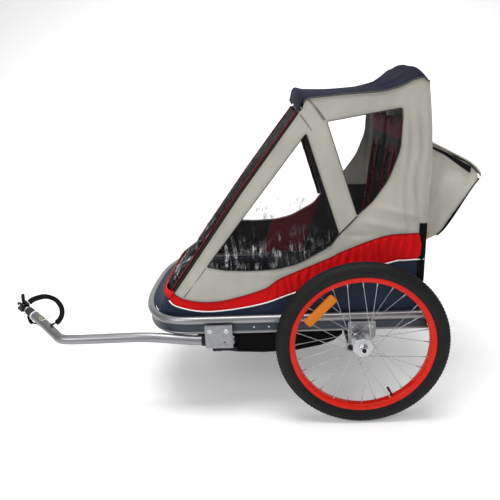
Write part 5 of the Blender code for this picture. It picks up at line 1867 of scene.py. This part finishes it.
def floor():
    """Coated fabric floor with a sewn footwell bag that hangs between the cross tubes."""
    profile = smooth_path([(x, z, 0) for x, z in WELL_PROFILE], 5)
    rows = []
    stations = [-1, -0.985, -0.96, -0.92] + [-0.85 + 1.7 * i / 34 for i in range(35)] + [0.92, 0.96, 0.985, 1]
    for s in stations:
        row = []
        tuck = max(0.0, (abs(s) - 0.90) / 0.10) ** 2
        for i, p in enumerate(profile):
            deep = min(1.0, max(0.0, (0.2988 - p.y) / 0.06))
            middle_x = -0.27
            x = p.x + (middle_x - p.x) * 0.03 * tuck * deep
            z = p.y + 0.008 * tuck * deep
            sag = 0.0022 * math.sin(s * 9 + p.x * 22) * deep * (1 - abs(s) ** 6)
            row.append((x, 0.275 * s, z + sag))
        rows.append(row)
    well = grid_cloth("footwell", rows, BLACK_CLOTH, (0, 0, -1), 0.0020, body="frame")
    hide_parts("floor_pan")
    for side, label in SIDES:
        wall = [(x, z) for x, z in WELL_PROFILE]
        points, faces, away, along = flat_mesh(wall, [], 0.008)
        x, z = points[:, 0], points[:, 1]
        push = edge_hold(away, 0.03) * (0.002 * bumps(x, z, 21, 7) + 0.001)
        corners = np.stack([x, side * (0.275 + push - 0.0015), z], axis=1)
        gusset = cloth_piece(f"footwell_side_{label}", corners, faces, along, away, (0, side, 0), 0.0015)
        place(gusset, BLACK_CLOTH, "frame", 60)
        round(area_of(wall), 4)
    outline = [(p.x, p.y) for p in bow_path(0, 0.020)]
    outline += [(0.139, RAIL_Y - 0.020), (0.139, -RAIL_Y + 0.020)]
    well_hole = [(-0.499, -0.274), (-0.040, -0.274), (-0.040, 0.274), (-0.499, 0.274)]
    points, faces, away, along = flat_mesh(outline, [well_hole], 0.014)
    lift = edge_hold(away, 0.03) * 0.0010 * bumps(points[:, 0], points[:, 1], 31, 6)
    corners = np.stack([points[:, 0], points[:, 1], 0.2990 + lift], axis=1)
    deck = cloth_piece("floor_cloth", corners, faces, along, away, (0, 0, 1), 0.0022)
    place(deck, BLACK_CLOTH, "frame", 60)
    area = area_of(outline) - area_of(well_hole)


def inflate(obj, voxel, reach, pressure=4.0, frames=20):
    """Blows a closed shape up as cloth, no point moving further than reach, and keeps the result."""
    pick(obj)
    obj.data.remesh_voxel_size = voxel
    bpy.ops.object.voxel_remesh()
    rest = np.empty(len(obj.data.vertices) * 3)
    obj.data.vertices.foreach_get("co", rest)
    cloth = obj.modifiers.new("blow_up", "CLOTH")
    cloth.settings.use_pressure = True
    cloth.settings.uniform_pressure_force = pressure
    cloth.settings.effector_weights.gravity = 0
    cloth.settings.quality = 5
    for step in range(1, frames + 1):
        bpy.context.scene.frame_set(step)
    apply_all(obj)
    bpy.context.scene.frame_set(1)
    moved = np.empty(len(rest))
    obj.data.vertices.foreach_get("co", moved)
    step = (moved - rest).reshape(-1, 3)
    size = np.linalg.norm(step, axis=1, keepdims=True)
    step = step * np.minimum(1.0, reach / np.maximum(size, 1e-9))
    obj.data.vertices.foreach_set("co", (rest.reshape(-1, 3) + step).ravel())
    soften = obj.modifiers.new("soften", "SMOOTH")
    soften.iterations = 4
    soften.factor = 0.5
    finer = obj.modifiers.new("finer", "SUBSURF")
    finer.levels = 1
    finer.render_levels = 1
    return apply_all(obj)


def points_of(obj):
    """The corners of a mesh and their directions outwards, as rows."""
    count = len(obj.data.vertices)
    corners, normals = np.empty(count * 3), np.empty(count * 3)
    obj.data.vertices.foreach_get("co", corners)
    obj.data.vertices.foreach_get("normal", normals)
    return corners.reshape(-1, 3), normals.reshape(-1, 3)


def put_points(obj, corners):
    obj.data.vertices.foreach_set("co", np.ascontiguousarray(corners).ravel())
    obj.data.update()


def channels(obj, centres, axis, width, depth, facing):
    """Sewn channels pressed into one face of a pad, along lines at fixed places on an axis."""
    corners, normals = points_of(obj)
    side = np.clip(normals @ np.array(facing), 0, 1)
    press = sum(np.exp(-(((corners[:, axis] - centre) / width) ** 2)) for centre in centres) * depth
    put_points(obj, corners - np.array(facing) * (press * side)[:, None])


def seat():
    for side, label in SIDES:
        outline = [
            (-0.279, 0.346), (-0.10, 0.333), (0.078, 0.338), (0.078, 0.350), (-0.10, 0.347),
            (-0.272, 0.357),
        ]
        pad = plate("pad", [rounded(outline, 0.004)], 0.226, 0.003)
        stand(pad, side * 0.1175)
        pad.name = f"seat_cushion_{label}"
        inflate(pad, 0.0055, 0.009)
        channels(pad, (-0.19, -0.10, -0.01), 0, 0.006, 0.005, (0, 0, 1))
        place(pad, SEAT_BLACK, "frame", 180)
        fold_down(pad)
        if side < 0:
            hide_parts("seat_base")
        back = [
            (0.090, 0.356), (0.104, 0.356), (0.128, 0.55), (0.148, 0.874), (0.138, 0.874),
            (0.114, 0.56),
        ]
        rest = plate("rest", [rounded(back, 0.004)], 0.226, 0.003)
        stand(rest, side * 0.1175)
        rest.name = f"seat_rest_{label}"
        inflate(rest, 0.0055, 0.008)
        channels(rest, (0.46, 0.56, 0.66, 0.76), 2, 0.006, 0.005, (-1, 0, 0))
        place(rest, SEAT_BACK, "frame", 180)
        fold_down(rest)
        if side < 0:
            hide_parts("seat_back")


def harness():
    """Shoulder and lap webbing for two seats, with a buckle and strap sliders."""
    for side, label in SIDES:
        middle = side * 0.118
        for number, offset in enumerate((-0.045, 0.045)):
            knots = [
                (0.128, middle + offset, 0.790),
                (0.112, middle + offset, 0.700),
                (0.100, middle + offset * 0.95, 0.600),
                (0.082, middle + offset * 0.80, 0.500),
                (0.040, middle + offset * 0.45, 0.430),
                (-0.010, middle + offset * 0.22, 0.392),
            ]
            path = smooth_path(knots, 6)
            strap = ribbon(
                f"shoulder_strap_{label}_{number}", path, [(0.5, 0.85, 0)] * len(path),
                HARNESS_WIDTH, STRAP_THICKNESS,
            )
            place(strap, RED_STRAP, "frame", 50)
            fold_down(strap)
            flat = (HARNESS_WIDTH, round(length_of(path), 3))
            grip = block("slider", (-0.003, -0.0165, -0.011), (0.003, 0.0165, 0.011), 0.0015)
            lean = Matrix.Rotation(math.radians(8), 4, "Y")
            grip.data.transform(Matrix.Translation((0.096, middle + offset * 0.92, 0.580)) @ lean)
            grip.name = f"strap_slider_{label}_{number}"
            place(grip, PLASTIC, "frame")
            fold_down(grip)
        crotch = [
            (-0.060, middle, 0.352), (-0.052, middle, 0.368), (-0.030, middle, 0.384),
            (-0.014, middle, 0.390),
        ]
        path = smooth_path(crotch, 6)
        strap = ribbon(f"crotch_strap_{label}", path, [(0, 1, 0)] * len(path), HARNESS_WIDTH, STRAP_THICKNESS)
        place(strap, STRAP, "frame", 50)
        fold_down(strap)
        round(length_of(path), 3)
        outline = [
            (-0.024, -0.016), (0.024, -0.021), (0.032, 0.0), (0.024, 0.021), (-0.024, 0.016),
            (-0.030, 0.0),
        ]
        buckle = plate("buckle", [rounded(outline, 0.006)], 0.010, 0.0025)
        lean = Matrix.Rotation(math.radians(-35), 4, "Y")
        buckle.data.transform(Matrix.Translation((-0.012, middle, 0.396)) @ lean)
        buckle.name = f"harness_buckle_{label}"
        place(buckle, PLASTIC, "frame")
        fold_down(buckle)


# ---------------------------------------------------------------- cargo bag and flag sleeve
BAG_OUTLINE = [
    (0.2005, 0.515), (0.246, 0.535), (0.285, 0.589), (0.326, 0.668), (0.343, 0.684),
    (0.349, 0.700), (0.346, 0.714), (0.318, 0.742), (0.245, 0.783), (0.2005, 0.806),
]
BAG_HALF = 0.25


def cargo_bag():
    """A lofted bag that sags between its corners, and its lid with a bound edge."""
    outline = rounded(BAG_OUTLINE, [0.002, 0.02, 0.03, 0.02, 0.012, 0.01, 0.012, 0.02, 0.02, 0.002], 4)
    body = plate("bag_body", [outline], 2 * (BAG_HALF - 0.003), 0.008)
    stand(body, 0)
    pick(body)
    body.data.remesh_voxel_size = 0.0055
    bpy.ops.object.voxel_remesh()
    soften = body.modifiers.new("soften", "SMOOTH")
    soften.iterations = 10
    soften.factor = 0.5
    apply_all(body)
    corners, normals = points_of(body)
    x, y, z = corners.T
    end = np.clip((BAG_HALF - np.abs(y)) / 0.05, 0, 1)
    hung = np.clip((x - 0.205) / 0.03, 0, 1)
    wave = 0.0030 * np.sin(z * 46 + 2.4 * np.sin(y * 19)) + 0.0022 * np.sin(y * 52 + z * 31)
    wave = wave + 0.0020 * np.sin((x - z) * 58 + 1.0) * (1 - end)
    put_points(body, corners + normals * (hung * wave - 0.002 * hung * (1 - end))[:, None])
    place(body, LIT_BAG_STONE, "rear_hoop", 60)
    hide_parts("cargo_bag")
    top = [(0.2005, 0.8085), (0.2462, 0.7860), (0.3190, 0.7450), (0.3455, 0.7180), (0.3492, 0.7060)]
    low = smooth_path([(x, z, 0) for x, z in top], 7)
    rows = []
    for p in low:
        row = []
        for j in range(61):
            s = -1 + 2 * j / 60
            ripple = 0.0022 * math.sin(s * 13 + p.x * 40) * (1 - abs(s) ** 8)
            sag = ripple - 0.0028 * (1 - s * s) * math.sin(math.pi * (p.x - 0.2) / 0.15)
            droop = 0.005 * max(0.0, (abs(s) - 0.93) / 0.07) ** 2
            row.append((p.x + 0.0006, (BAG_HALF - 0.0015) * s, p.y + 0.0008 + sag - droop))
        rows.append(row)
    lid = grid_cloth("bag_flap", rows, LIT_BAG_LID_CLOTH, (0.4, 0, 1), 0.0016, body="bag_lid")
    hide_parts("bag_lid")
    rim = [Vector(row[0]) for row in rows] + [Vector(p) for p in rows[-1][1:-1]]
    rim += [Vector(row[-1]) for row in reversed(rows)]
    edge = rod("flap_binding", rim, 0.0021, 10)
    place(edge, LID_BINDING, "bag_lid", 60)
    for side, label in SIDES:
        strip = [(0.2060, 0.7925), (0.2500, 0.7700), (0.2900, 0.7430), (0.3210, 0.7230)]
        top = flat_curve(strip, 8)
        line = []
        for i, (x, z) in enumerate(top):
            line.append((x, z + 0.0005 + 0.007 * i / len(top)))
        under = [(x - 0.002, z - 0.004 - 0.008 * i / len(top)) for i, (x, z) in enumerate(top)]
        wedge_outline = line + under[::-1]
        wedge = stand(
            plate(f"bag_wedge_{label}", [wedge_outline], 0.0024, 0.0006), side * (BAG_HALF + 0.0004)
        )
        place(wedge, STRAP, "rear_hoop", 50)
        edge = [
            (0.347, 0.695), (0.333, 0.676), (0.317, 0.650), (0.281, 0.588), (0.255, 0.549),
            (0.236, 0.531),
        ]
        path = [Vector((x, side * (BAG_HALF - 0.0085), z)) for x, z in flat_curve(edge, 8)]
        strap = ribbon(f"bag_strap_{label}", path, [(0, 1, 0)] * len(path), 0.020, 0.0020)
        place(strap, STRAP, "rear_hoop", 50)
        round(length_of(path), 3)


def flag_sleeve():
    outline = [(0.1625, 0.415), (0.1845, 0.415), (0.1905, 0.585), (0.1690, 0.585)]

    def tube_fold(x, z, away):
        return 0.0038 * np.sqrt(np.clip(away / 0.011, 0, 1)) + 0.0006 * np.sin(z * 90)

    sleeve = side_cloth("flag_pocket", outline, [], BLACK_CLOTH, -1, tube_fold, 0.0012, 0.004)
    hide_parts("flag_sleeve")


# ---------------------------------------------------------------- the whole trailer
set_up_camera()
safety_strap()
set_up_studio()
frame_tubes()
axle_brackets()
tow_bracket()
for side, label in SIDES:
    wheel(side, label)
tow_bar()
hitch_head()
hitch_pin()
hook_tab()
cage()
cabin_sides()
roof()
front_of_cabin()
rear_panel()
floor()
seat()
harness()
cargo_bag()
flag_sleeve()
